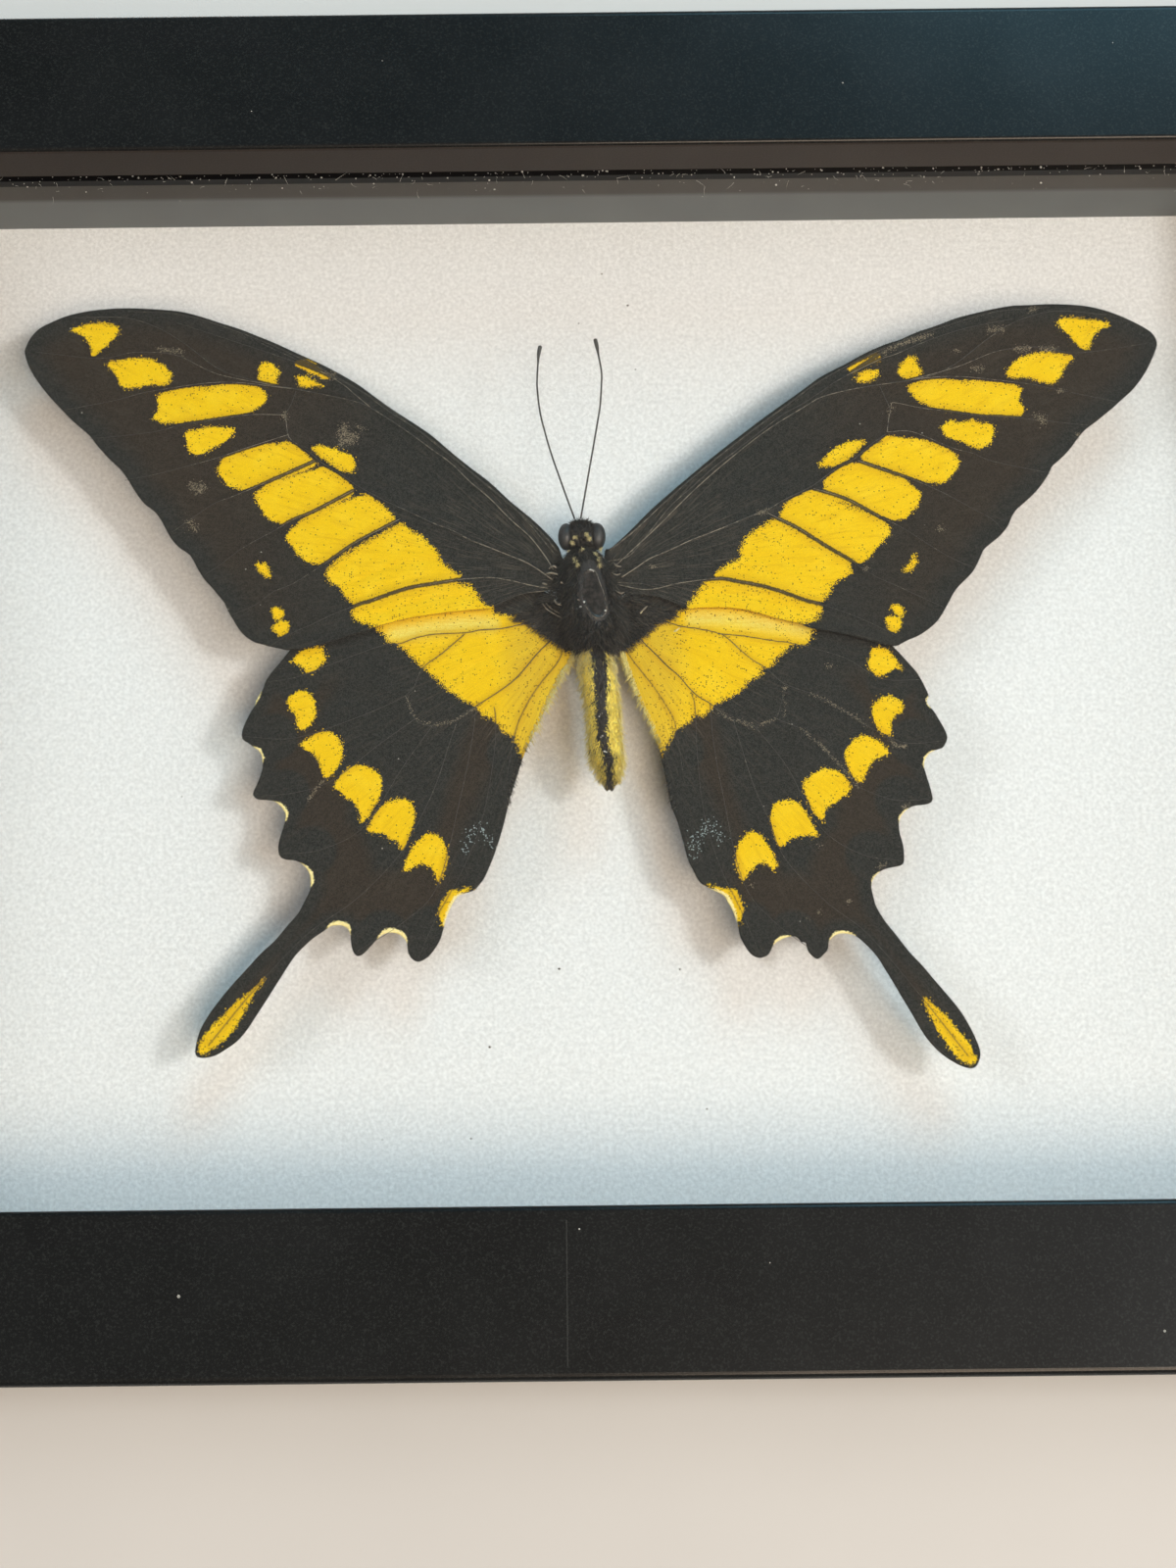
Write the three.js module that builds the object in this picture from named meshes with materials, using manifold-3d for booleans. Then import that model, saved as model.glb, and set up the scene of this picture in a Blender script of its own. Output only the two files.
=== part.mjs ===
// Framed butterfly specimen: a shadow-box frame lying on its back, glass up, with one spread
// swallowtail butterfly held above a white card.
//
// Units are millimetres. +X runs along the long rails, +Y towards the top rail, +Z out through the
// glass. The origin is the bottom centre of the whole object.

import * as THREE from 'three';
import { mergeVertices } from 'three/addons/utils/BufferGeometryUtils.js';
import Module from 'manifold-3d';

// ---------------------------------------------------------------- driving dimensions

const OUTER_WIDTH = 205;         // frame, along X
const OUTER_HEIGHT = 155;        // frame, along Y
const FRAME_DEPTH = 28;          // back of the rails to their face
const FACE_WIDTH = 17.5;         // moulding seen from the front
const LIP_WIDTH = 5;             // how far the lip covers the glass
const OUTER_ROUND = 0.8;         // rounded long edge, outside
const LIP_ROUND = 0.6;           // rounded long edge, at the opening
const MITRE_GAP = 0.1;           // glue line where two rails meet
const REBATE_CLEARANCE = 0.25;   // glass, card and back panel to the rebate wall

const BACK_PANEL_Z = 4;          // the stack inside the rebate, from the back
const CARD_Z = 7;
const CARD_FACE_Z = 8.5;
const GLASS_Z = 20.25;
const LIP_Z = 22.25;

const TAB_WIDTH = 6;             // bendable points that hold the back panel
const TAB_LENGTH = 14;
const TAB_THICKNESS = 0.5;
const TAB_X = [-60, 0, 60];      // along the top and bottom rails
const TAB_Y = [-32, 32];         // along the side rails

const HANGER_LENGTH = 44;
const HANGER_WIDTH = 9;
const HANGER_THICKNESS = 0.75;
const HANGER_RISE = 1;           // how far the toothed middle stands off the panel
const HANGER_Y = 46;
const TOOTH_PITCH = 2.5;
const TOOTH_DEPTH = 1.5;
const RIVET_RADIUS = 2.2;
const RIVET_HEIGHT = 0.8;

const BODY_TAIL = [2.35, -13.3]; // tip of the abdomen
const BODY_HEAD = [-0.5, 17];    // a point on the axis between the eyes
const BODY_Z = 15.9;             // height of the body's axis
const BODY_RINGS = 36;
const BODY_SIDES = 20;
const CORK_CENTRE = [0.2, 9.6];
const CORK_RADIUS = 2.6;
const CORK_TOP_Z = 12.6;

const HINDWING_Z = 15.25;        // the forewings lie over the hindwings
const FOREWING_Z = 16;
const WING_THICKNESS = 0.25;
const WING_SAMPLES = 130;        // points round one wing

const ANTENNA_RADIUS = 0.11;
const ANTENNA_SIDES = 8;

// ---------------------------------------------------------------- materials

const paint = (name, color, roughness, metalness = 0) =>
  new THREE.MeshStandardMaterial({ name, color, roughness, metalness });

const mouldingBlack = () => paint('moulding_black', 0x24272a, 0.35);
const clearGlass = () =>
  Object.assign(paint('clear_glass', 0xeef4f2, 0.03), { transparent: true, opacity: 0.2 });
const spacerGrey = () => paint('spacer_grey', 0x6f726b, 0.6);
const cardWhite = () => paint('card_white', 0xe3e1dc, 0.9);
const hardboardBrown = () => paint('hardboard_brown', 0x7d5a3c, 0.75);
const tabSteel = () => paint('tab_steel', 0x9a9c9c, 0.4, 0.9);
const hangerBrass = () => paint('hanger_brass', 0xb08d4a, 0.35, 0.9);
const corkTan = () => paint('cork_tan', 0xb98f62, 0.9);
const bodyBlack = () => paint('body_black', 0x2b2823, 0.8);
const wingBlack = () => paint('wing_black', 0x2e2b27, 0.75);

// ---------------------------------------------------------------- outlines, points in millimetres

// Each wing runs from its root along the leading edge to the tip and back along the hind margin.
const FOREWING_LEFT = [
  [-3.1, 15.2], [-4.9, 17.6], [-8.7, 21.1], [-13.3, 25.3], [-20.1, 31], [-26.8, 36], [-34, 40.1],
  [-40.7, 43.1], [-47.5, 45.3], [-54.4, 45.9], [-61.2, 44.9], [-64.9, 42.8], [-65.9, 40.4],
  [-63.7, 36], [-58.9, 30.8], [-54, 25.5], [-50, 20.4], [-46.9, 16], [-43.9, 12], [-41.5, 9.1],
  [-39, 5.1], [-36, 3.8], [-34.1, 3.4], [-30.6, 4], [-24, 6.1], [-20, 7.1], [-12.2, 8],
  [-7.6, 9.4], [-3.4, 9.9],
];
const FOREWING_RIGHT = [
  [3, 15.2], [5.3, 17.4], [9.8, 21.8], [14.4, 25.8], [18.9, 29.4], [23.5, 32.9], [29.3, 36.9],
  [34.3, 39.6], [39.6, 41.7], [45, 43.7], [50.9, 44.9], [55.5, 45.1], [60, 44.7], [64.5, 43.1],
  [67.3, 41.1], [67.7, 40], [66.8, 37.6], [64.5, 34.2], [59.8, 30.1], [56.8, 27], [53.9, 23.6],
  [50, 19.4], [47.9, 16.2], [45.7, 14], [43.5, 10.8], [41.6, 8.2], [39.2, 5.1], [36.8, 3.8],
  [35.2, 3.1], [31, 4.2], [24.4, 5.9], [20, 7.1], [13, 7.9], [8, 9.3], [3.8, 9.8],
];
// Each hindwing runs from its root down the inner margin, round the scallops and the tail, and
// back under the forewing.
const HINDWING_LEFT = [
  [-3.4, 9], [-2.5, 6], [-1.5, 3.2], [-1.9, 1.6], [-3.8, -1.8], [-5.8, -6], [-7.3, -9.3],
  [-8.9, -14.3], [-10.1, -19.1], [-11.7, -23.2], [-14, -25], [-16, -27.6], [-17.3, -31.3],
  [-19, -32.6], [-20.2, -31.5], [-21.4, -29.5], [-23.6, -30], [-25.4, -31.8], [-26.5, -30.3],
  [-27.8, -28.5], [-29.8, -29.2], [-33.7, -33.3], [-36.9, -38.5], [-40.3, -42.2], [-42.8, -43],
  [-43, -40], [-39.6, -35], [-35, -30.1], [-31.8, -25.8], [-31.3, -22.4], [-34.2, -20.8],
  [-34.7, -18.7], [-34.1, -15.8], [-35.8, -14.1], [-37.7, -13.3], [-36.8, -9.9], [-38.5, -7.4],
  [-39.2, -6.1], [-37.8, -2.9], [-36.6, 0.1], [-34.1, 3.4], [-32, 6], [-25, 9], [-15, 11],
  [-6, 10.8],
];
const HINDWING_RIGHT = [
  [4, 9], [3.8, 6], [4, 3], [4.8, 0.4], [5.9, -2.7], [7.3, -5.9], [8.4, -10], [9.4, -15],
  [10.6, -19.3], [12.4, -24], [14.9, -25.4], [16.4, -28.3], [17.2, -31.2], [18.8, -32.6],
  [20.1, -31.7], [21.3, -30.5], [23.2, -30.4], [24.2, -31.6], [25.3, -32.8], [26.3, -31.6],
  [27, -30.3], [29, -30], [31.1, -31.7], [33.6, -35.7], [36.4, -40.9], [39.8, -44.4], [42, -45],
  [42.6, -43], [40.7, -38.7], [36.8, -33.7], [33, -28.7], [31.5, -24.8], [32.8, -22.9],
  [35, -22.2], [35.3, -21], [34.9, -17.4], [36.5, -15.6], [38.7, -14.9], [38, -10.7],
  [40.1, -8.8], [40.7, -7.5], [39, -4.1], [38.6, -1.8], [36.8, 1.2], [35.2, 3.1], [32.5, 6],
  [25.5, 9], [15.5, 11], [6.5, 10.8],
];
// Body turned about its axis: radius, then distance from the tip of the abdomen.
const BODY_PROFILE = [
  [0, 0], [0.45, 0.1], [1.1, 1.1], [1.65, 2.8], [1.9, 5.5], [1.95, 9], [1.8, 13], [1.5, 16.2],
  [2.2, 18.5], [2.75, 21], [2.85, 23.3], [2.5, 25.7], [1.8, 27.3], [1.9, 28.2], [2.35, 29.4],
  [2.3, 30.6], [1.5, 31.6], [0.6, 31.95], [0, 32],
];
// Antennae: x, y, z from the brow to the club.
const ANTENNA_LEFT = [
  [-1.3, 18.9, 17.4], [-2, 20.8, 17.3], [-3.8, 26, 17.2], [-5.1, 31.3, 17.2], [-5.4, 35.7, 17.2],
  [-5, 39.8, 17.2],
];
const ANTENNA_RIGHT = [
  [-0.4, 19, 17.4], [0, 20.9, 17.3], [1, 26.6, 17.2], [1.9, 32, 17.2], [2.1, 36.3, 17.2],
  [1.4, 40.6, 17.2],
];

// ---------------------------------------------------------------- making shapes

const wasm = await Module();
wasm.setup();

function toSolid(geometry) {
  const bare = geometry.clone();
  bare.deleteAttribute('normal');
  bare.deleteAttribute('uv');
  const merged = mergeVertices(bare, 1e-4);
  return new wasm.Manifold(new wasm.Mesh({
    numProp: 3,
    vertProperties: new Float32Array(merged.attributes.position.array),
    triVerts: new Uint32Array(merged.index.array),
  }));
}

function toGeometry(solid) {
  const mesh = solid.getMesh();
  const geometry = new THREE.BufferGeometry();
  geometry.setAttribute('position', new THREE.BufferAttribute(new Float32Array(mesh.vertProperties), 3));
  geometry.setIndex(new THREE.BufferAttribute(new Uint32Array(mesh.triVerts), 1));
  geometry.computeVertexNormals();
  return geometry;
}

function addMesh(name, geometry, material, x = 0, y = 0, z = 0) {
  const mesh = new THREE.Mesh(geometry, material);
  mesh.name = name;
  mesh.position.set(x, y, z);
  model.add(mesh);
  return mesh;
}

// A box given by its lowest and highest corners.
function addBox(name, low, high, material) {
  const size = high.map((value, axis) => value - low[axis]);
  const centre = high.map((value, axis) => (value + low[axis]) / 2);
  return addMesh(name, new THREE.BoxGeometry(...size), material, ...centre);
}

// A smooth closed outline through a list of points.
function smoothOutline(points, samples) {
  const curve = new THREE.CatmullRomCurve3(
    points.map(([x, y]) => new THREE.Vector3(x, y, 0)), true, 'centripetal');
  const around = curve.getPoints(samples).slice(0, -1);
  return new THREE.Shape(around.map((point) => new THREE.Vector2(point.x, point.y)));
}

const model = new THREE.Group();

// ---------------------------------------------------------------- moulding

// The section of a rail: x runs inwards from the outer side, y up from the back.
function railSection() {
  const section = new THREE.Shape();
  const rebate = FACE_WIDTH - LIP_WIDTH;
  section.moveTo(0, 0);
  section.lineTo(rebate, 0);
  section.lineTo(rebate, LIP_Z);
  section.lineTo(FACE_WIDTH, LIP_Z);
  section.lineTo(FACE_WIDTH, FRAME_DEPTH - LIP_ROUND);
  section.absarc(FACE_WIDTH - LIP_ROUND, FRAME_DEPTH - LIP_ROUND, LIP_ROUND, 0, Math.PI / 2);
  section.lineTo(OUTER_ROUND, FRAME_DEPTH);
  section.absarc(OUTER_ROUND, FRAME_DEPTH - OUTER_ROUND, OUTER_ROUND, Math.PI / 2, Math.PI);
  section.closePath();
  return section;
}

// A rail along X whose outer side is at +Y: every point of the section runs out to its own mitre.
function addRail(name, length, across, turn) {
  const options = { depth: 1, bevelEnabled: false, curveSegments: 4 };
  const geometry = new THREE.ExtrudeGeometry(railSection(), options);
  const position = geometry.attributes.position;
  for (let i = 0; i < position.count; i += 1) {
    const inwards = position.getX(i);
    const end = position.getZ(i) > 0.5 ? -1 : 1;
    const reach = length / 2 - inwards - MITRE_GAP / 2;
    position.setXYZ(i, end * reach, across / 2 - inwards, position.getY(i));
  }
  geometry.computeVertexNormals();
  addMesh(name, geometry, mouldingBlack()).rotation.z = turn;
}

addRail('rail_top', OUTER_WIDTH, OUTER_HEIGHT, 0);
addRail('rail_left', OUTER_HEIGHT, OUTER_WIDTH, Math.PI / 2);
addRail('rail_bottom', OUTER_WIDTH, OUTER_HEIGHT, Math.PI);
addRail('rail_right', OUTER_HEIGHT, OUTER_WIDTH, -Math.PI / 2);

// ---------------------------------------------------------------- glass, spacers, card and back

const openX = OUTER_WIDTH / 2 - FACE_WIDTH;
const openY = OUTER_HEIGHT / 2 - FACE_WIDTH;
const rebateX = openX + LIP_WIDTH;
const rebateY = openY + LIP_WIDTH;
const fillX = rebateX - REBATE_CLEARANCE;
const fillY = rebateY - REBATE_CLEARANCE;

const layer = (name, bottom, top, material) =>
  addBox(name, [-fillX, -fillY, bottom], [fillX, fillY, top], material);

layer('glass', GLASS_Z, LIP_Z, clearGlass());
layer('mount_card', CARD_Z, CARD_FACE_Z, cardWhite());
layer('back_panel', BACK_PANEL_Z, CARD_Z, hardboardBrown());

addBox('spacer_top', [-fillX, openY, CARD_FACE_Z], [fillX, fillY, GLASS_Z], spacerGrey());
addBox('spacer_bottom', [-fillX, -fillY, CARD_FACE_Z], [fillX, -openY, GLASS_Z], spacerGrey());
addBox('spacer_left', [-fillX, -openY, CARD_FACE_Z], [-openX, openY, GLASS_Z], spacerGrey());
addBox('spacer_right', [openX, -openY, CARD_FACE_Z], [fillX, openY, GLASS_Z], spacerGrey());

// ---------------------------------------------------------------- back hardware

// A bendable point lies on the back panel, its outer end against the rebate wall at +Y.
function addTab(name, along, across, turn) {
  const half = TAB_WIDTH / 2;
  const shape = new THREE.Shape();
  shape.moveTo(-half, 0);
  shape.lineTo(-half, half - TAB_LENGTH);
  shape.absarc(0, half - TAB_LENGTH, half, Math.PI, 2 * Math.PI);
  shape.lineTo(half, 0);
  shape.closePath();
  const options = { depth: TAB_THICKNESS, bevelEnabled: false, curveSegments: 8 };
  const geometry = new THREE.ExtrudeGeometry(shape, options);
  geometry.translate(along, across, BACK_PANEL_Z - TAB_THICKNESS);
  addMesh(name, geometry, tabSteel()).rotation.z = turn;
}

const sides = [
  { along: TAB_X, across: rebateY, turn: 0 },
  { along: TAB_Y, across: rebateX, turn: Math.PI / 2 },
  { along: TAB_X, across: rebateY, turn: Math.PI },
  { along: TAB_Y, across: rebateX, turn: -Math.PI / 2 },
];
let tabNumber = 0;
for (const { along, across, turn } of sides) {
  for (const place of along) {
    tabNumber += 1;
    addTab(`tab_${tabNumber}`, place, across, turn);
  }
}

// The hanger is a strip whose middle stands off the panel, with a toothed lower edge for the nail.
function hangerSolid() {
  const end = HANGER_LENGTH / 2;
  const foot = end - 8;
  const ramp = foot - 2;
  const strip = new THREE.Shape();
  strip.moveTo(-end, 0);
  strip.lineTo(-end, -HANGER_THICKNESS);
  strip.lineTo(-foot, -HANGER_THICKNESS);
  strip.lineTo(-ramp, -HANGER_THICKNESS - HANGER_RISE);
  strip.lineTo(ramp, -HANGER_THICKNESS - HANGER_RISE);
  strip.lineTo(foot, -HANGER_THICKNESS);
  strip.lineTo(end, -HANGER_THICKNESS);
  strip.lineTo(end, 0);
  strip.lineTo(foot, 0);
  strip.lineTo(ramp, -HANGER_RISE);
  strip.lineTo(-ramp, -HANGER_RISE);
  strip.lineTo(-foot, 0);
  strip.closePath();
  const plate = new THREE.ExtrudeGeometry(strip, { depth: HANGER_WIDTH, bevelEnabled: false });
  plate.rotateX(Math.PI / 2);
  let solid = toSolid(plate);
  for (let x = -ramp + TOOTH_PITCH; x < ramp; x += TOOTH_PITCH) {
    const notch = new THREE.Shape();
    notch.moveTo(x - TOOTH_PITCH / 2, -1);
    notch.lineTo(x + TOOTH_PITCH / 2, -1);
    notch.lineTo(x, TOOTH_DEPTH);
    notch.closePath();
    const cutter = new THREE.ExtrudeGeometry(notch, { depth: 6, bevelEnabled: false });
    cutter.translate(0, -HANGER_WIDTH, -3);
    solid = solid.subtract(toSolid(cutter));
  }
  return solid;
}

const hanger = addMesh('sawtooth_hanger', toGeometry(hangerSolid()), hangerBrass());
hanger.position.set(0, HANGER_Y + HANGER_WIDTH / 2, BACK_PANEL_Z);

// A domed rivet head under each end of the hanger.
function addRivet(name, x) {
  const profile = [[0, 0], [1, 0], [1, 0.4], [0.8, 0.75], [0.4, 1], [0, 1]].map(
    ([radius, height]) => new THREE.Vector2(radius * RIVET_RADIUS, height * RIVET_HEIGHT));
  const geometry = new THREE.LatheGeometry(profile, 20);
  geometry.rotateX(-Math.PI / 2);
  addMesh(name, geometry, hangerBrass(), x, HANGER_Y, BACK_PANEL_Z - HANGER_THICKNESS);
}

addRivet('hanger_rivet_left', 4 - HANGER_LENGTH / 2);
addRivet('hanger_rivet_right', HANGER_LENGTH / 2 - 4);

// ---------------------------------------------------------------- butterfly

function addWing(name, outline, bottom) {
  const geometry = new THREE.ExtrudeGeometry(
    smoothOutline(outline, WING_SAMPLES), { depth: WING_THICKNESS, bevelEnabled: false });
  addMesh(name, geometry, wingBlack(), 0, 0, bottom);
}

addWing('hindwing_left', HINDWING_LEFT, HINDWING_Z);
addWing('hindwing_right', HINDWING_RIGHT, HINDWING_Z);
addWing('forewing_left', FOREWING_LEFT, FOREWING_Z);
addWing('forewing_right', FOREWING_RIGHT, FOREWING_Z);

function addBody() {
  const knots = BODY_PROFILE.map(([radius, along]) => new THREE.Vector2(radius, along));
  const spline = new THREE.SplineCurve(knots);
  const geometry = new THREE.LatheGeometry(spline.getPoints(BODY_RINGS), BODY_SIDES);
  const mesh = addMesh('body', geometry, bodyBlack(), ...BODY_TAIL, BODY_Z);
  mesh.rotation.z = Math.atan2(BODY_TAIL[0] - BODY_HEAD[0], BODY_HEAD[1] - BODY_TAIL[1]);
}
addBody();

const cork = new THREE.CylinderGeometry(CORK_RADIUS, CORK_RADIUS, CORK_TOP_Z - CARD_FACE_Z, 24);
cork.rotateX(Math.PI / 2);
addMesh('cork_rest', cork, corkTan(), ...CORK_CENTRE, (CARD_FACE_Z + CORK_TOP_Z) / 2);

// Section of an antenna in radii of its thin shaft, against the part of its length: the last
// seventh swells into the club.
const ANTENNA_PROFILE = [
  [0, 0], [1, 0], [1, 0.1], [1, 0.2], [1, 0.3], [1, 0.4], [1, 0.5], [1, 0.6], [1, 0.7], [1.1, 0.8],
  [1.5, 0.86], [2, 0.91], [2.2, 0.95], [1.8, 0.985], [0, 1],
];

// An antenna is a turned rod bent along its curve.
function addAntenna(name, points) {
  const curve = new THREE.CatmullRomCurve3(points.map((point) => new THREE.Vector3(...point)));
  const profile = ANTENNA_PROFILE.map(([radii, along]) => new THREE.Vector2(radii * ANTENNA_RADIUS, along));
  const geometry = new THREE.LatheGeometry(profile, ANTENNA_SIDES);
  const position = geometry.attributes.position;
  const up = new THREE.Vector3(0, 0, 1);
  for (let i = 0; i < position.count; i += 1) {
    const along = position.getY(i);
    const tangent = curve.getTangentAt(along);
    const side = new THREE.Vector3().crossVectors(tangent, up).normalize();
    const over = new THREE.Vector3().crossVectors(side, tangent);
    const point = curve.getPointAt(along)
      .addScaledVector(side, position.getX(i))
      .addScaledVector(over, position.getZ(i));
    position.setXYZ(i, point.x, point.y, point.z);
  }
  geometry.computeVertexNormals();
  addMesh(name, geometry, bodyBlack());
}

addAntenna('antenna_left', ANTENNA_LEFT);
addAntenna('antenna_right', ANTENNA_RIGHT);

export default model;
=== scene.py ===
# %% [markdown]
# # A butterfly in a box frame
# The object is a shallow black frame with a pane of glass, a white card and one spread swallowtail held a
# little above the card. The frame parts arrive ready made and to size. Everything soft, thin or hairy is
# made here: the wings with their scales and veins, the furry body, the feelers, and the dust that settles
# on such a thing. Lengths are written in millimetres and turned into Blender's metres at the last moment.

# %% Load the frame
import math

import bpy
import numpy as np
from mathutils import Matrix, Vector


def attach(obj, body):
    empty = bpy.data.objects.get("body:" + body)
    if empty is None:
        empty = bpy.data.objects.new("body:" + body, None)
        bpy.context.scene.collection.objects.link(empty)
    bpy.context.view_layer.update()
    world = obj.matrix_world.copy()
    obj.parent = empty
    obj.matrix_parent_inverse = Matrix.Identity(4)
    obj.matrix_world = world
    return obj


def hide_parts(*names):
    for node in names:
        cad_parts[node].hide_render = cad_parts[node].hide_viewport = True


MM = 0.001
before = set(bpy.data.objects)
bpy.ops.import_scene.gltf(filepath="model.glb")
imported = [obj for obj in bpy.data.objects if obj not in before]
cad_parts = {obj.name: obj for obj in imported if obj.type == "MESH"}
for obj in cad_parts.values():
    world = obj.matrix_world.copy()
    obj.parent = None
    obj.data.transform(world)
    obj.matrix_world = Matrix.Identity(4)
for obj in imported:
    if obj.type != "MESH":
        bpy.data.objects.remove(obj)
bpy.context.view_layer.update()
print("parts in the frame:", len(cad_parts))

# %% [markdown]
# ## Camera
# The frame lies on its back and the camera looks down on it, leaning a little towards the top rail, from
# about a quarter of a metre. At this distance the near rail looks larger than the far one, so the place
# of the camera matters more than its lens. Blender wants a lens in millimetres on a 36 mm sensor: the
# picture is 1600 pixels tall and its focal length is 2300 pixels, which gives 51.75 mm.

# %% Camera
PICTURE_HEIGHT = 1600
FOCAL_PIXELS = 2300
SENSOR = 36.0
CAMERA_PLACE = Vector((0, -71.985, 263.0)) * MM
CAMERA_LEAN = math.radians(13.5)
CAMERA_ROLL = math.radians(0.64)

lens = bpy.data.cameras.new("camera")
lens.sensor_width = SENSOR
lens.lens = FOCAL_PIXELS / PICTURE_HEIGHT * SENSOR
lens.clip_start = 0.01
camera = bpy.data.objects.new("camera", lens)
bpy.context.scene.collection.objects.link(camera)
ahead = Vector((0, math.sin(CAMERA_LEAN), -math.cos(CAMERA_LEAN)))
level_up = Vector((0, math.cos(CAMERA_LEAN), math.sin(CAMERA_LEAN)))
level_right = Vector((1, 0, 0))
picture_right = level_right * math.cos(CAMERA_ROLL) - level_up * math.sin(CAMERA_ROLL)
picture_up = level_right * math.sin(CAMERA_ROLL) + level_up * math.cos(CAMERA_ROLL)
camera.matrix_world = Matrix.Translation(CAMERA_PLACE) @ Matrix(
    (picture_right, picture_up, -ahead)).transposed().to_4x4()
bpy.context.scene.camera = camera
print("lens", round(lens.lens, 2), "mm")

# %% [markdown]
# ## Light and floor
# A specimen in a box is lit through its glass, so what matters is where the soft shadows fall on the
# card. A warm panel stands high on the near side, so the near rail shades only the last centimetre of
# card. A cool one stands low beyond the top rail, shades the far end of the card and puts a blue-green
# gleam on that rail. A small lamp on the right draws the feelers' thin shadows, with a wide panel behind
# it, and a high panel beside the near one softens them. A weak one on the left keeps the shadows from
# going black. All six stand outside the cone that the glass mirrors back into the camera, where only the
# dim plain surroundings show.

# %% Light and floor
bpy.context.scene.view_settings.view_transform = "Standard"


def soft_panel(name, place, size, watts, tint):
    """An area lamp of the given size in metres, turned so that it faces the middle of the glass."""
    lamp = bpy.data.lights.new(name, "AREA")
    lamp.shape = "DISK"
    lamp.size = size
    lamp.energy = watts
    lamp.color = tint
    panel = bpy.data.objects.new(name, lamp)
    bpy.context.scene.collection.objects.link(panel)
    place = Vector(place)
    aim = Vector((0, 0, 0.02)) - place
    panel.matrix_world = Matrix.Translation(place) @ aim.to_track_quat("-Z", "Y").to_matrix().to_4x4()
    return panel


# Name, place and width in metres, watts, tint.
LAMPS = (
    ("panel_near", (0.30, -0.60, 1.18), 0.62, 9.7, (1.0, 0.78, 0.58)),
    ("lamp_right", (0.51, -0.05, 0.62), 0.12, 1.95, (1.0, 1.0, 0.98)),
    ("panel_right", (1.05, 0.10, 0.90), 0.90, 2.5, (0.97, 1.0, 1.0)),
    ("panel_top", (0.38, 1.04, 0.90), 0.75, 6.9, (0.30, 0.76, 1.0)),
    ("panel_high", (0.64, -0.25, 1.12), 0.50, 2.8, (0.93, 0.98, 1.0)),
    ("panel_left", (-0.95, 0.15, 0.90), 0.50, 3.6, (0.95, 0.98, 1.0)),
)
for lamp in LAMPS:
    soft_panel(*lamp)
print("lamps:", len(LAMPS))

world = bpy.data.worlds.new("studio")
bpy.context.scene.world = world
world.use_nodes = True
world.node_tree.nodes["Background"].inputs["Color"].default_value = (0.95, 0.98, 1.0, 1.0)
world.node_tree.nodes["Background"].inputs["Strength"].default_value = 0.11

# %% [markdown]
# ## Helpers for materials
# A material here is a small graph of nodes that ends in a Principled BSDF. The helper below makes one
# node and joins its inputs in the same line, so that a graph reads like a recipe. Colours are written as
# they look on screen, from 0 to 255, and turned into the linear light values that Blender mixes.

# %% Helpers for materials


def paint(red, green, blue):
    """A screen colour, 0 to 255, as linear light: c/12.92 near black, else ((c + 0.055)/1.055) to the 2.4."""
    screen = np.array([red, green, blue]) / 255
    linear = np.where(screen < 0.04045, screen / 12.92, ((screen + 0.055) / 1.055) ** 2.4)
    return (*(float(value) for value in linear), 1.0)


def node(tree, kind, inputs=None, **settings):
    """One shader node. An input is either a plain value or another node's output, which is then linked."""
    made = tree.nodes.new("ShaderNode" + kind)
    for key, value in settings.items():
        setattr(made, key, value)
    for key, value in (inputs or {}).items():
        if isinstance(value, bpy.types.NodeSocket):
            tree.links.new(value, made.inputs[key])
        else:
            made.inputs[key].default_value = value
    return made


def maths(tree, operation, first, second=0.0, third=0.0):
    """The result of one sum on two or three numbers that vary over the surface."""
    return node(tree, "Math", {0: first, 1: second, 2: third}, operation=operation).outputs[0]


def times(tree, first, second):
    """The product of two numbers that vary over the surface."""
    return maths(tree, "MULTIPLY", first, second)


def plus(tree, first, second):
    """The sum of two such numbers."""
    return maths(tree, "ADD", first, second)


def scaled(tree, value, factor, offset):
    """A number that varies over the surface, times a factor, plus an offset."""
    return maths(tree, "MULTIPLY_ADD", value, factor, offset)


def below(tree, value, limit):
    """1 where a number is less than a limit, else 0."""
    return maths(tree, "LESS_THAN", value, limit)


def inverse(tree, mask):
    """A mask turned over: 1 becomes 0."""
    return maths(tree, "SUBTRACT", 1.0, mask)


def blend(tree, mask, base, above):
    """One colour laid over another where the mask is 1."""
    return node(tree, "Mix", {0: mask, 6: base, 7: above}, data_type="RGBA").outputs[2]


def step(tree, value, low, high):
    """0 below low, 1 above high and a straight ramp between them."""
    return node(tree, "MapRange", {"Value": value, "From Min": low, "From Max": high}, clamp=True).outputs[0]


def noise(tree, place, size_mm, detail=2.0, roughness=0.5):
    """Cloudy noise whose blobs are about size_mm across."""
    return node(tree, "TexNoise", {"Vector": place, "Scale": 1 / (size_mm * MM), "Detail": detail,
                                   "Roughness": roughness}).outputs["Fac"]


def cells(tree, place, size_mm):
    """A Voronoi pattern with cells about size_mm across."""
    return node(tree, "TexVoronoi", {"Vector": place, "Scale": 1 / (size_mm * MM)})


def picks(tree, pattern):
    """Three random numbers for each cell of a pattern, the same all over the cell."""
    return node(tree, "SeparateColor", {0: pattern.outputs["Color"]}).outputs


def start_material(name, roughness):
    """A new material: its tree, its Principled BSDF and the object's own coordinates."""
    material = bpy.data.materials.new(name)
    material.use_nodes = True
    tree = material.node_tree
    shader = tree.nodes["Principled BSDF"]
    shader.inputs["Roughness"].default_value = roughness
    place = node(tree, "TexCoord").outputs["Object"]
    return material, tree, shader, place


def raise_surface(tree, shader, height, depth_mm, strength):
    """Sends a height map through a Bump node whose full range stands depth_mm proud."""
    bump = node(tree, "Bump", {"Height": height, "Distance": depth_mm * MM, "Strength": strength})
    tree.links.new(bump.outputs[0], shader.inputs["Normal"])


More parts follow.
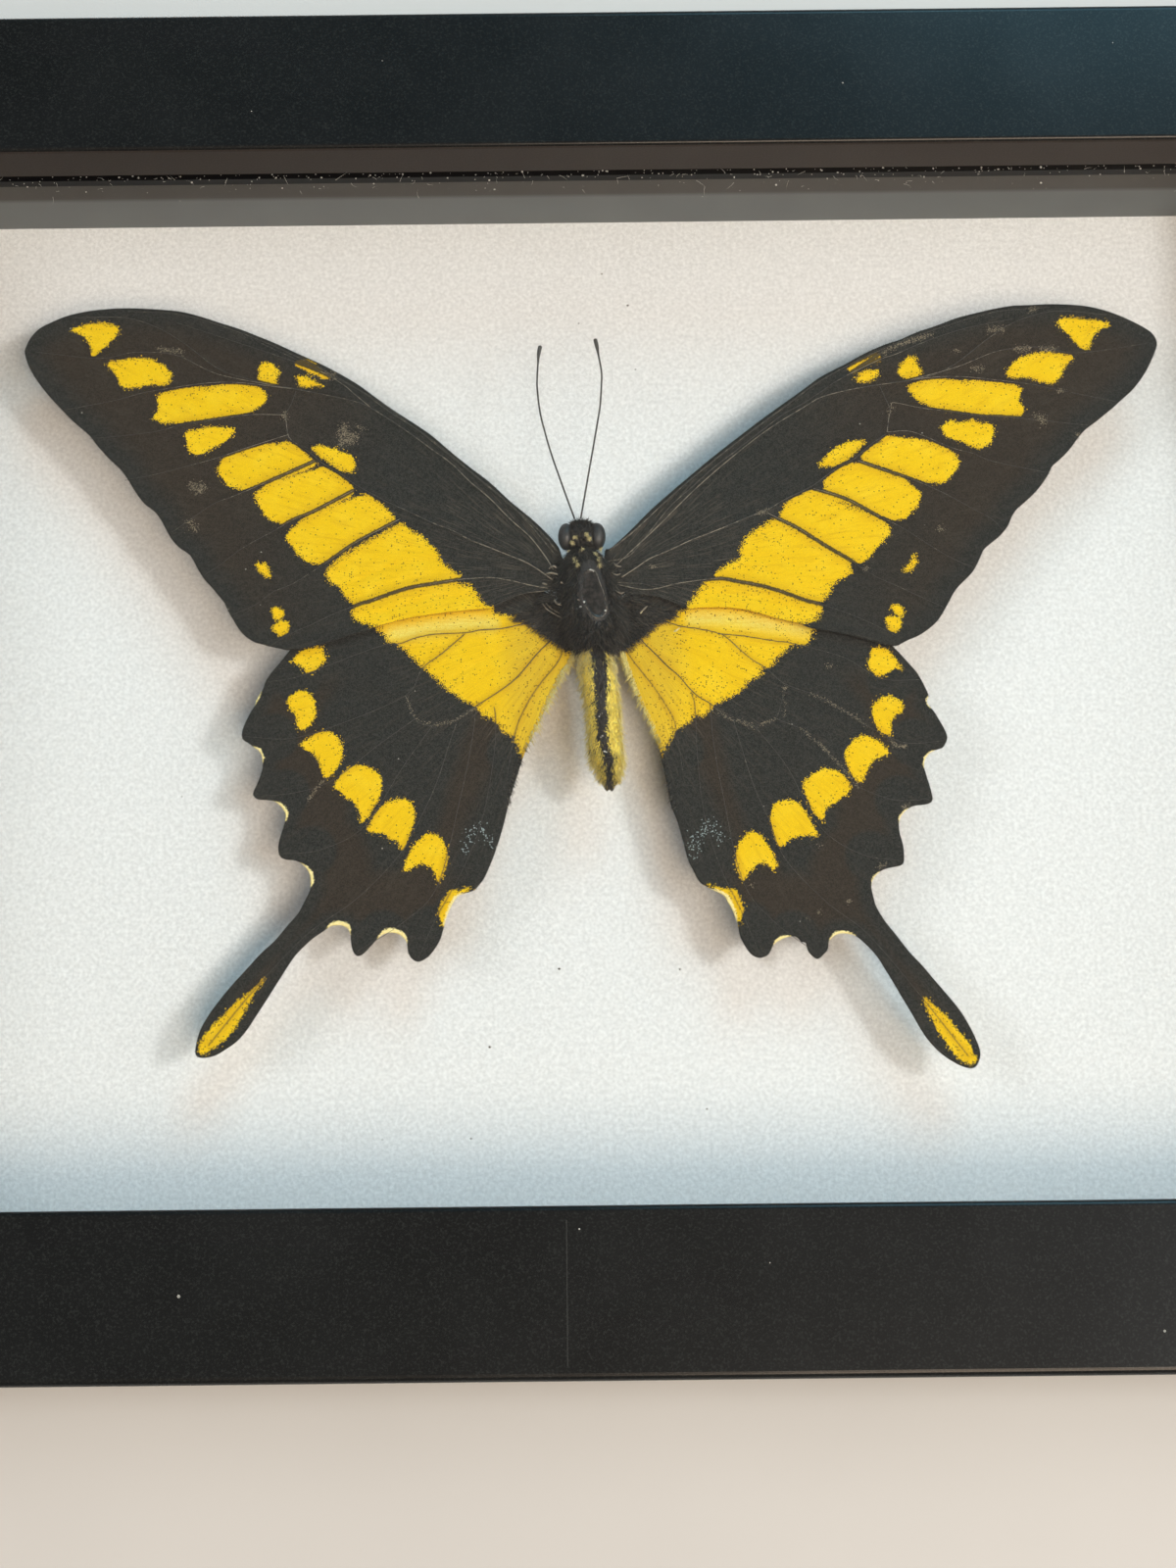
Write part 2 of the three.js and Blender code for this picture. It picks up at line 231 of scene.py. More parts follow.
def surface(tree, shader, colour, height, depth_mm, strength):
    """Gives a material its colour and its relief."""
    tree.links.new(colour, shader.inputs["Base Color"])
    raise_surface(tree, shader, height, depth_mm, strength)


def dress(names, material):
    """Gives ready-made frame parts their finish, whatever slots they came with."""
    for name in names:
        mesh = bpy.data.objects[name].data
        mesh.materials.clear()
        mesh.materials.append(material)


# %% [markdown]
# ## Effects shared by several finishes
# Three effects turn up on more than one material, so each is a node group with named inputs. *Mottle* is
# the slight cloudiness and grain that no real surface is without. *Flecks* is a sparse scatter of tiny
# dust dots. *Scales* is the shingle of tiny scales that covers a butterfly from wing tip to tail, each a
# little lighter or darker.

# %% Shared effects


def start_group(name, inputs, outputs):
    """A node group with numbers going in and numbers coming out, and its two end nodes."""
    group = bpy.data.node_groups.new(name, "ShaderNodeTree")
    group.interface.new_socket("Place", in_out="INPUT", socket_type="NodeSocketVector")
    for label, value in inputs.items():
        group.interface.new_socket(label, in_out="INPUT", socket_type="NodeSocketFloat").default_value = value
    for label in outputs:
        group.interface.new_socket(label, in_out="OUTPUT", socket_type="NodeSocketFloat")
    return group, group.nodes.new("NodeGroupInput"), group.nodes.new("NodeGroupOutput")


def use_group(tree, group, place, **values):
    """Places a shared effect in a material with its own values."""
    made = tree.nodes.new("ShaderNodeGroup")
    made.node_tree = group
    tree.links.new(place, made.inputs["Place"])
    for label, value in values.items():
        made.inputs[label].default_value = value
    return made.outputs


def scaled_noise(tree, source, label, detail):
    """Cloudy noise in a group, whose scale comes from one of the group's own inputs."""
    made = node(tree, "TexNoise", {"Vector": source.outputs["Place"], "Detail": detail})
    tree.links.new(source.outputs[label], made.inputs["Scale"])
    return made.outputs["Fac"]


mottle, source, sink = start_group("mottle", {"Cloud Scale": 200.0, "Grain Scale": 4000.0}, ["Cloud",
"Grain"])
mottle.links.new(scaled_noise(mottle, source, "Cloud Scale", 3.0), sink.inputs["Cloud"])
mottle.links.new(scaled_noise(mottle, source, "Grain Scale", 2.0), sink.inputs["Grain"])

flecks, source, sink = start_group("flecks", {"Scale": 900.0, "Share": 0.03, "Size": 0.12}, ["Mask"])
fleck_cells = node(flecks, "TexVoronoi", {"Vector": source.outputs["Place"]})
flecks.links.new(source.outputs["Scale"], fleck_cells.inputs["Scale"])
fleck_pick = picks(flecks, fleck_cells)[0]
fleck_chosen = below(flecks, fleck_pick, source.outputs["Share"])
fleck_near = below(flecks, fleck_cells.outputs["Distance"], source.outputs["Size"])
flecks.links.new(times(flecks, fleck_chosen, fleck_near), sink.inputs["Mask"])

scales, source, sink = start_group("scales", {"Scale": 8000.0}, ["Height", "Tone"])
scale_cells = node(scales, "TexVoronoi", {"Vector": source.outputs["Place"]})
scales.links.new(source.outputs["Scale"], scale_cells.inputs["Scale"])
scale_pick = picks(scales, scale_cells)[1]
scales.links.new(scale_cells.outputs["Distance"], sink.inputs["Height"])
scales.links.new(scale_pick, sink.inputs["Tone"])
print("shared effects:", mottle.name, flecks.name, scales.name)


def mottled(tree, place, cloud_scale, grain_scale):
    """The mottle effect in a material: clouds and grain, each with its own number of blobs a metre."""
    return use_group(tree, mottle, place, **{"Cloud Scale": cloud_scale, "Grain Scale": grain_scale})


def freckled(tree, place, scale, share, size):
    """The flecks effect in a material: 1 on a fleck and 0 beside it."""
    return use_group(tree, flecks, place, Scale=scale, Share=share, Size=size)["Mask"]

# %% [markdown]
# ## The black moulding
# The four rails are wood with a smooth satin black lacquer. Lacquer like this is never quite flat: it has
# a soft orange-peel ripple, a patchy sheen, and it shows every speck of dust. The near rail also carries
# one hairline scratch across its face. The scratch is a band of the object's own coordinates, thinner
# than a hair. The cut wall inside the opening is only stained, so it is browner and has no coat of
# lacquer over it.

# %% Black moulding
SCRATCH_X, SCRATCH_LOW, SCRATCH_HIGH, SCRATCH_HALF = -2.7, -76.0, -61.5, 0.06
OPENING_HALF_X, OPENING_HALF_Y = 85.1, 60.1

moulding, tree, shader, place = start_material("moulding_black", 0.45)
shader.inputs["Specular IOR Level"].default_value = 0.12
shader.inputs["Coat Roughness"].default_value = 0.19
clouds = mottled(tree, place, 90.0, 4200.0)
dust = freckled(tree, place, 260.0, 0.035, 0.045)
lacquer = blend(tree, step(tree, clouds["Cloud"], 0.3, 0.7), paint(14, 15, 15), paint(21, 22, 22))
glints = times(tree, step(tree, clouds["Grain"], 0.5, 0.8), 0.7)
lacquer = blend(tree, glints, lacquer, paint(46, 48, 46))
axis = node(tree, "SeparateXYZ", {0: place}).outputs
off_scratch = maths(tree, "ABSOLUTE", maths(tree, "SUBTRACT", axis[0], SCRATCH_X * MM))
on_line = below(tree, off_scratch, SCRATCH_HALF * MM)
in_reach = times(tree, maths(tree, "GREATER_THAN", axis[1], SCRATCH_LOW * MM),
                 below(tree, axis[1], SCRATCH_HIGH * MM))
scratch = times(tree, times(tree, on_line, in_reach), 0.2)
scratched = blend(tree, scratch, lacquer, paint(96, 96, 92))
within_x = below(tree, maths(tree, "ABSOLUTE", axis[0]), OPENING_HALF_X * MM)
within_y = below(tree, maths(tree, "ABSOLUTE", axis[1]), OPENING_HALF_Y * MM)
lip_wall = times(tree, within_x, within_y)
stained = blend(tree, lip_wall, scratched, blend(tree, clouds["Grain"], paint(51, 46, 44), paint(68, 62, 58)))
tree.links.new(blend(tree, dust, stained, paint(150, 148, 140)), shader.inputs["Base Color"])
lacquered = scaled(tree, clouds["Cloud"], 0.2, 0.29)
tree.links.new(times(tree, inverse(tree, lip_wall), lacquered), shader.inputs["Coat Weight"])
raise_surface(tree, shader, clouds["Grain"], 0.016, 0.6)
dress(["rail_top", "rail_bottom", "rail_left", "rail_right"], moulding)

# %% [markdown]
# ## Spacers, card and back
# Grey strips hold the glass off the card. Each is one piece, and its colour changes at two heights: above
# the first it is painted darker and browner, which is painted shade from the lip above it, and its top
# under the glass is painted black, which is painted shade of the gap between lip and glass. The card is
# heavy off-white paper with a tooth that catches the raking light. The back is bare
# hardboard, with its long brown fibres, and the cork pad under the body is the same idea at a coarser
# scale.

# %% Spacers, card and back
SPACER_TOP, SHADE_BAND_LOW, SHADE_BAND_BLEND = 20.25, 14.9, 1.0
GAP_SHADE_WIDTH, GAP_SHADE_EDGE = 1.3, 0.1

spacer, tree, shader, place = start_material("spacer_grey", 0.4)
shader.inputs["Specular IOR Level"].default_value = 0.12
clouds = mottled(tree, place, 150.0, 3000.0)
level = node(tree, "SeparateXYZ", {0: place}).outputs[2]
lower = blend(tree, clouds["Cloud"], paint(111, 113, 114), paint(123, 127, 126))
# The upper part of the strip is painted darker and browner: painted shade from the lip that overhangs it.
upper = blend(tree, clouds["Cloud"], paint(77, 74, 71), paint(87, 84, 80))
strip = blend(tree, step(tree, level, SHADE_BAND_LOW * MM, (SHADE_BAND_LOW + SHADE_BAND_BLEND) * MM), lower, upper)
# The black band at the top of the strip is painted shade: it stands for the dark gap between the lip and the
# glass.
gap_shade_low = SPACER_TOP - GAP_SHADE_WIDTH
gap_shade = step(tree, level, gap_shade_low * MM, (gap_shade_low + GAP_SHADE_EDGE) * MM)
surface(tree, shader, blend(tree, gap_shade, strip, paint(7, 8, 11)), clouds["Grain"], 0.01, 0.5)
dress(["spacer_top", "spacer_bottom", "spacer_left", "spacer_right"], spacer)

card, tree, shader, place = start_material("card_white", 0.9)
clouds = mottled(tree, place, 60.0, 1500.0)
fibre = noise(tree, place, 0.45, 4.0, 0.7)
paper = blend(tree, clouds["Cloud"], paint(217, 217, 216), paint(223, 223, 222))
paper = blend(tree, step(tree, fibre, 0.38, 0.66), paper, paint(242, 242, 241))
specks = freckled(tree, place, 420.0, 0.006, 0.05)
surface(tree, shader, blend(tree, specks, paper, paint(140, 132, 120)),
        plus(tree, clouds["Grain"], fibre), 0.055, 0.8)
dress(["mount_card"], card)

hardboard, tree, shader, place = start_material("hardboard_brown", 0.75)
long_fibre = node(tree, "Mapping", {"Vector": place, "Scale": (0.25, 1.0, 1.0)}).outputs[0]
fibre = noise(tree, long_fibre, 0.6, 4.0, 0.65)
clouds = mottled(tree, place, 70.0, 2200.0)
brown = blend(tree, step(tree, fibre, 0.35, 0.7), paint(112, 80, 54), paint(138, 102, 70))
specks = freckled(tree, place, 700.0, 0.2, 0.2)
surface(tree, shader, blend(tree, specks, brown, paint(84, 56, 36)),
        plus(tree, fibre, clouds["Grain"]), 0.05, 0.6)
dress(["back_panel"], hardboard)

cork, tree, shader, place = start_material("cork_tan", 0.85)
grain = cells(tree, place, 0.9)
crumb = picks(tree, grain)[0]
surface(tree, shader, blend(tree, crumb, paint(150, 108, 70), paint(192, 148, 104)),
        grain.outputs["Distance"], 0.12, 0.6)
dress(["cork_rest"], cork)

# %% [markdown]
# ## Metal on the back
# The bendable points are thin zinc-plated steel with faint rolling marks along them. The toothed hanger
# and its two rivets are brass-plated, a little tarnished in the hollows. Rolling marks are noise squeezed
# hard along one axis.

# %% Metal on the back


def plated(name, light, dark, roughness, squeeze):
    """Plated sheet metal: fine rolling marks, and a cloudy tarnish that is darker and duller."""
    metal, tree, shader, place = start_material(name, roughness)
    shader.inputs["Metallic"].default_value = 1.0
    marks = noise(tree, node(tree, "Mapping", {"Vector": place, "Scale": squeeze}).outputs[0], 0.15, 2.0)
    clouds = mottled(tree, place, 260.0, 5000.0)
    tarnish = step(tree, clouds["Cloud"], 0.4, 0.7)
    tree.links.new(blend(tree, tarnish, light, dark), shader.inputs["Base Color"])
    tree.links.new(node(tree, "MapRange", {"Value": tarnish, "To Min": roughness, "To Max": roughness + 0.2}
                        ).outputs[0], shader.inputs["Roughness"])
    raise_surface(tree, shader, marks, 0.008, 0.5)
    return metal


TAB_NAMES = [f"tab_{number}" for number in range(1, 11)]
dress(TAB_NAMES, plated("tab_steel", paint(196, 198, 198), paint(150, 152, 153), 0.3, (1.0, 0.08, 1.0)))
dress(["sawtooth_hanger", "hanger_rivet_left", "hanger_rivet_right"],
      plated("hanger_brass", paint(214, 178, 104), paint(158, 122, 62), 0.26, (0.08, 1.0, 1.0)))

# %% [markdown]
# ## The glass
# Glass is a Principled BSDF with full transmission. Light from the lamps and light scattered by the card
# has to pass straight through the pane, or the box would be dark, so for those rays the pane is swapped
# for a clear shader. The camera still sees real glass, with its reflections.

# %% The glass
glass, tree, shader, place = start_material("clear_glass", 0.0)
shader.inputs["Base Color"].default_value = (0.97, 0.985, 0.98, 1.0)
shader.inputs["Transmission Weight"].default_value = 1.0
shader.inputs["IOR"].default_value = 1.5
ray = node(tree, "LightPath").outputs
passing = maths(tree, "MAXIMUM", ray["Is Shadow Ray"], ray["Is Diffuse Ray"])
clear = node(tree, "BsdfTransparent").outputs[0]
pane = node(tree, "MixShader", {0: passing, 1: shader.outputs[0], 2: clear}).outputs[0]
tree.links.new(pane, tree.nodes["Material Output"].inputs["Surface"])
dress(["glass"], glass)

# %% [markdown]
# ## From numbers to meshes
# All the shapes that follow are worked out as whole arrays of corners and faces. This helper puts such
# arrays into a Blender mesh in a few calls. It also measures the volume that the faces enclose: for a
# closed shell it is positive only when the faces point outwards, so a shell that comes out inside out is
# turned right here, once and for all.

# %% From numbers to meshes


def volume(corners, faces):
    """The volume a shell encloses: the sum over its triangles of one sixth of corner . (corner x corner)."""
    total = 0.0
    for group in faces:
        first = corners[group[:, 0]]
        for k in range(1, group.shape[1] - 1):
            total += np.sum(first * np.cross(corners[group[:, k]], corners[group[:, k + 1]])) / 6
    return total


def build(name, corners, faces, material, finish, marks=None, closed=True, stands_for=()):
    """One finished piece from corners in millimetres and arrays of faces. The name of its finish is not used.
    """
    if closed and volume(corners, faces) < 0:
        faces = [group[:, ::-1] for group in faces]
    mesh = bpy.data.meshes.new(name)
    mesh.vertices.add(len(corners))
    mesh.vertices.foreach_set("co", (corners * MM).astype(np.float32).ravel())
    order = np.concatenate([group.ravel() for group in faces])
    mesh.loops.add(len(order))
    mesh.loops.foreach_set("vertex_index", order.astype(np.int32))
    sides = np.concatenate([np.full(len(group), group.shape[1]) for group in faces])
    mesh.polygons.add(len(sides))
    mesh.polygons.foreach_set("loop_start", (np.cumsum(sides) - sides).astype(np.int32))
    mesh.polygons.foreach_set("use_smooth", np.ones(len(sides), bool))
    for label, values in (marks or {}).items():
        layer = mesh.attributes.new(label, "FLOAT_VECTOR", "POINT")
        layer.data.foreach_set("vector", np.asarray(values, np.float32).ravel())
    mesh.update(calc_edges=True)
    mesh.validate()
    mesh.materials.append(material)
    piece = bpy.data.objects.new(name, mesh)
    bpy.context.scene.collection.objects.link(piece)
    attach(piece, "root")
    if stands_for:
        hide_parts(*stands_for)
    print(f"{name}: {len(corners)} corners, {int(np.sum(sides - 2))} triangles")
    return piece


def unit(vectors):
    """Arrows shortened or stretched to length 1."""
    return vectors / np.maximum(np.linalg.norm(vectors, axis=-1, keepdims=True), 1e-9)


def spokes(side, up, around):
    """Arrows round each point of a path, evenly turned: cos a . side + sin a . up."""
    turn = np.arange(around) * 2 * np.pi / around
    return np.cos(turn)[None, :, None] * side[:, None] + np.sin(turn)[None, :, None] * up[:, None]


def globe(rows, around, margin):
    """Rings of a ball of radius 1, from margin to pi - margin down from its pole."""
    polar = np.linspace(margin, np.pi - margin, rows)
    turn = np.arange(around) * 2 * np.pi / around
    return np.stack([np.sin(polar)[:, None] * np.cos(turn), np.sin(polar)[:, None] * np.sin(turn),
                     np.broadcast_to(np.cos(polar)[:, None], (rows, around))], -1)


def lift(flat, height):
    """Points of the plane raised to a height, or each to its own."""
    return np.column_stack([flat, np.broadcast_to(height, len(flat))])


def skin(rings):
    """A closed skin over rings of corners, shape (rings, corners, 3), with a flat lid on each end."""
    count, around = rings.shape[:2]
    index = np.arange(count * around).reshape(count, around)
    onward = np.roll(index, -1, axis=1)
    quads = np.stack([index[:-1], index[1:], onward[1:], onward[:-1]], -1).reshape(-1, 4)
    return rings.reshape(-1, 3), [quads, index[:1], index[-1:, ::-1]]


def tube(path, radius, around):
    """A round profile carried along a path: each ring is centre + radius x spokes."""
    path, radius = np.asarray(path, float), np.asarray(radius, float)
    onward = unit(np.gradient(path, axis=0))
    side = unit(np.cross(onward, [0.0, 0.0, 1.0]))
    ring = spokes(side, np.cross(side, onward), around)
    return skin(path[:, None] + radius[:, None, None] * ring)


def join(parts):
    """Several shapes as one: corner arrays end to end, with each shape's faces counted on from the last."""
    corners, faces, count = [], [], 0
    for shape_corners, shape_faces in parts:
        corners.append(shape_corners)
        faces += [group + count for group in shape_faces]
        count += len(shape_corners)
    widths = sorted({group.shape[1] for group in faces})
    return np.concatenate(corners), [np.concatenate([g for g in faces if g.shape[1] == w]) for w in widths]


# %% [markdown]
# ## Lines through given points
# The wings' outlines, spots and veins are short lists of points in millimetres. A soft line runs through
# each list. Two measures of such a line do all the work below: how far a point is from it, and whether a
# point is inside it. From those come the cut edge of a wing, the edge of a spot and the ridge of a vein.

# %% Lines through given points
# Points measured in one go, and how far from a line its distance is still told.
CHUNK, REACH = 2500, 3.0


def points(text):
    """Given points written as 'x y, x y, ...' in millimetres."""
    return np.array([pair.split() for pair in text.split(",")], float)


def smooth(line, closed=True, steps=4):
    """A soft line through points: between two of them runs the cubic whose slope at each end is half the
    chord between its neighbours (Catmull-Rom)."""
    line = np.asarray(line, float)
    if closed:
        parts = [np.roll(line, shift, axis=0) for shift in (1, 0, -1, -2)]
    else:
        long = np.vstack([2 * line[0] - line[1], line, 2 * line[-1] - line[-2]])
        parts = [long[:-3], long[1:-2], long[2:-1], long[3:]]
    before, here, there, after = (part[:, None, :] for part in parts)
    t = (np.arange(steps) / steps)[None, :, None]
    curve = 0.5 * (2 * here + (there - before) * t + (2 * before - 5 * here + 4 * there - after) * t ** 2
                   + (3 * here - before - 3 * there + after) * t ** 3)
    curve = curve.reshape(-1, line.shape[1])
    return curve if closed else np.vstack([curve, line[-1]])


def soft_line(text, steps=4):
    """A soft open line through given points."""
    return smooth(points(text), closed=False, steps=steps)


def line_distance(where, line, closed=False, reach=REACH):
    """For each point: its distance to a line, no more than reach, and how far along it (0 to 1) that is."""
    start, end = (line, np.roll(line, -1, axis=0)) if closed else (line[:-1], line[1:])
    run = end - start
    length = np.hypot(run[:, 0], run[:, 1]) + 1e-9
    begun = np.cumsum(length) - length
    distance, along = np.full(len(where), reach), np.zeros(len(where))
    near = np.all((where > line.min(0) - reach) & (where < line.max(0) + reach), axis=1).nonzero()[0]
    for first in range(0, len(near), CHUNK):
        some = near[first:first + CHUNK]
        offset = where[some, None, :] - start
        t = np.clip((offset * run).sum(-1) / length ** 2, 0, 1)
        gap = offset - t[..., None] * run
        gap = np.hypot(gap[..., 0], gap[..., 1])
        best = gap.argmin(1)
        row = np.arange(len(some))
        distance[some] = np.minimum(gap[row, best], reach)
        along[some] = (begun[best] + t[row, best] * length[best]) / length.sum()
    return distance, along


def inside(where, loop):
    """Whether each point is inside a closed line: a ray to the right crosses it an odd number of times."""
    result = np.zeros(len(where), bool)
    near = np.all((where > loop.min(0)) & (where < loop.max(0)), axis=1).nonzero()[0]
    start, end = loop, np.roll(loop, -1, axis=0)
    rise = end[:, 1] - start[:, 1]
    slope = (end[:, 0] - start[:, 0]) / np.where(rise == 0, 1e-9, rise)
    for first in range(0, len(near), CHUNK):
        some = near[first:first + CHUNK]
        x, y = where[some, 0:1], where[some, 1:2]
        spans = (start[:, 1] > y) != (end[:, 1] > y)
        result[some] = (spans & (x < start[:, 0] + (y - start[:, 1]) * slope)).sum(1) % 2 == 1
    return result


def depth_inside(where, loop, reach=REACH):
    """Distance to a closed line, counted positive inside it and negative outside."""
    distance, _ = line_distance(where, loop, closed=True, reach=reach)
    return np.where(inside(where, loop), distance, -distance)


# %% [markdown]
# ## The forewings
# A forewing is a long triangle: a strong front edge, a slightly wavy outer edge and a hind edge that lies
# over the hindwing. Its yellow spots follow the cells between the veins. Left and right are drawn apart,
# because no real specimen is quite even. Each spot has a share of dark scales scattered through it.

# %% Forewing outlines
FOREWING_EDGE = {
    "left": points(
        "-65.9 40.4, -65.5 39.0, -64.8 37.6, -63.7 36.0, -62.5 34.5, -61.4 33.3, -60.3 32.1, -58.9 30.8,"
        "-57.8 29.8, -56.9 28.6, -55.7 27.2, -54.8 26.3, -54.0 25.5, -53.2 24.4, -52.3 22.9, -51.2 21.4,"
        "-50.0 20.4, -49.2 19.4, -48.4 17.9, -47.8 16.9, -46.9 15.9, -45.8 15.1, -45.3 14.4, -44.6 13.1,"
        "-43.9 12.0, -43.0 11.0, -42.2 10.0, -41.5 9.1, -41.0 8.0, -40.4 7.0, -39.8 6.0, -39.0 5.1,"
        "-38.0 4.4, -37.0 4.1, -36.0 3.8, -35.0 3.6, -34.1 3.4, -32.4 3.6, -30.6 4.0, -27.9 4.8, -25.2 5.6,"
        "-24.0 6.1, -20.0 7.1, -15.0 7.8, -12.2 8.0, -10.4 8.3, -7.6 9.7, -4.6 10.1, -2.4 11.0, -2.6 13.3,"
        "-3.0 15.1, -3.7 16.2, -4.9 17.6, -6.4 19.1, -8.7 21.1, -11.0 23.4, -13.3 25.3, -15.5 27.2,"
        "-17.8 29.3, -20.1 31.0, -22.4 32.6, -24.6 34.3, -26.8 36.0, -30.4 38.2, -34.0 40.0, -36.2 41.1,"
        "-38.4 42.1, -40.7 43.1, -43.0 43.9, -45.3 44.7, -47.5 45.3, -49.8 45.6, -52.1 45.8, -54.4 45.9,"
        "-56.6 45.8, -58.9 45.5, -61.2 44.9, -63.0 44.1, -64.4 43.3, -65.3 42.2, -65.7 41.3"),
    "right": points(
        "67.7 40.0, 67.4 38.9, 66.8 37.6, 65.9 36.0, 64.5 34.2, 63.2 33.0, 62.0 31.9, 60.9 31.0, 59.8 30.1,"
        "58.6 29.2, 57.7 28.2, 56.8 27.0, 55.9 26.0, 55.0 25.2, 54.4 24.6, 53.9 23.6, 52.9 22.2, 52.0 21.2,"
        "50.9 20.2, 50.0 19.4, 49.4 18.5, 48.9 17.4, 47.9 16.2, 46.8 15.3, 46.0 14.6, 45.7 14.0, 45.0 12.6,"
        "44.4 11.7, 43.5 10.8, 42.8 10.1, 42.2 9.3, 41.6 8.2, 40.9 7.0, 40.2 6.0, 39.2 5.1, 38.0 4.3,"
        "36.8 3.8, 36.0 3.4, 35.2 3.1, 33.0 3.6, 31.0 4.2, 28.4 4.8, 25.8 5.3, 24.4 5.9, 22.3 6.4, 20.0 7.1,"
        "17.8 7.7, 15.7 7.9, 13.0 7.9, 11.4 7.9, 8.0 9.3, 3.8 9.8, 2.6 11.5, 2.2 13.3, 2.3 15.0, 3.0 15.2,"
        "5.3 17.4, 7.5 19.7, 9.8 21.8, 12.1 23.8, 14.4 25.8, 16.6 27.6, 18.9 29.4, 21.2 31.2, 23.5 32.9,"
        "25.7 34.5, 27.7 36.0, 29.3 36.9, 31.0 37.8, 32.7 38.8, 34.3 39.6, 36.0 40.3, 37.3 40.7, 39.5 41.7,"
        "41.8 42.5, 44.1 43.4, 46.4 44.0, 48.6 44.5, 50.9 44.9, 53.2 45.0, 55.4 45.1, 57.7 45.0, 60.0 44.7,"
        "62.3 44.0, 64.5 43.0, 66.4 41.9, 67.3 41.1"),
}

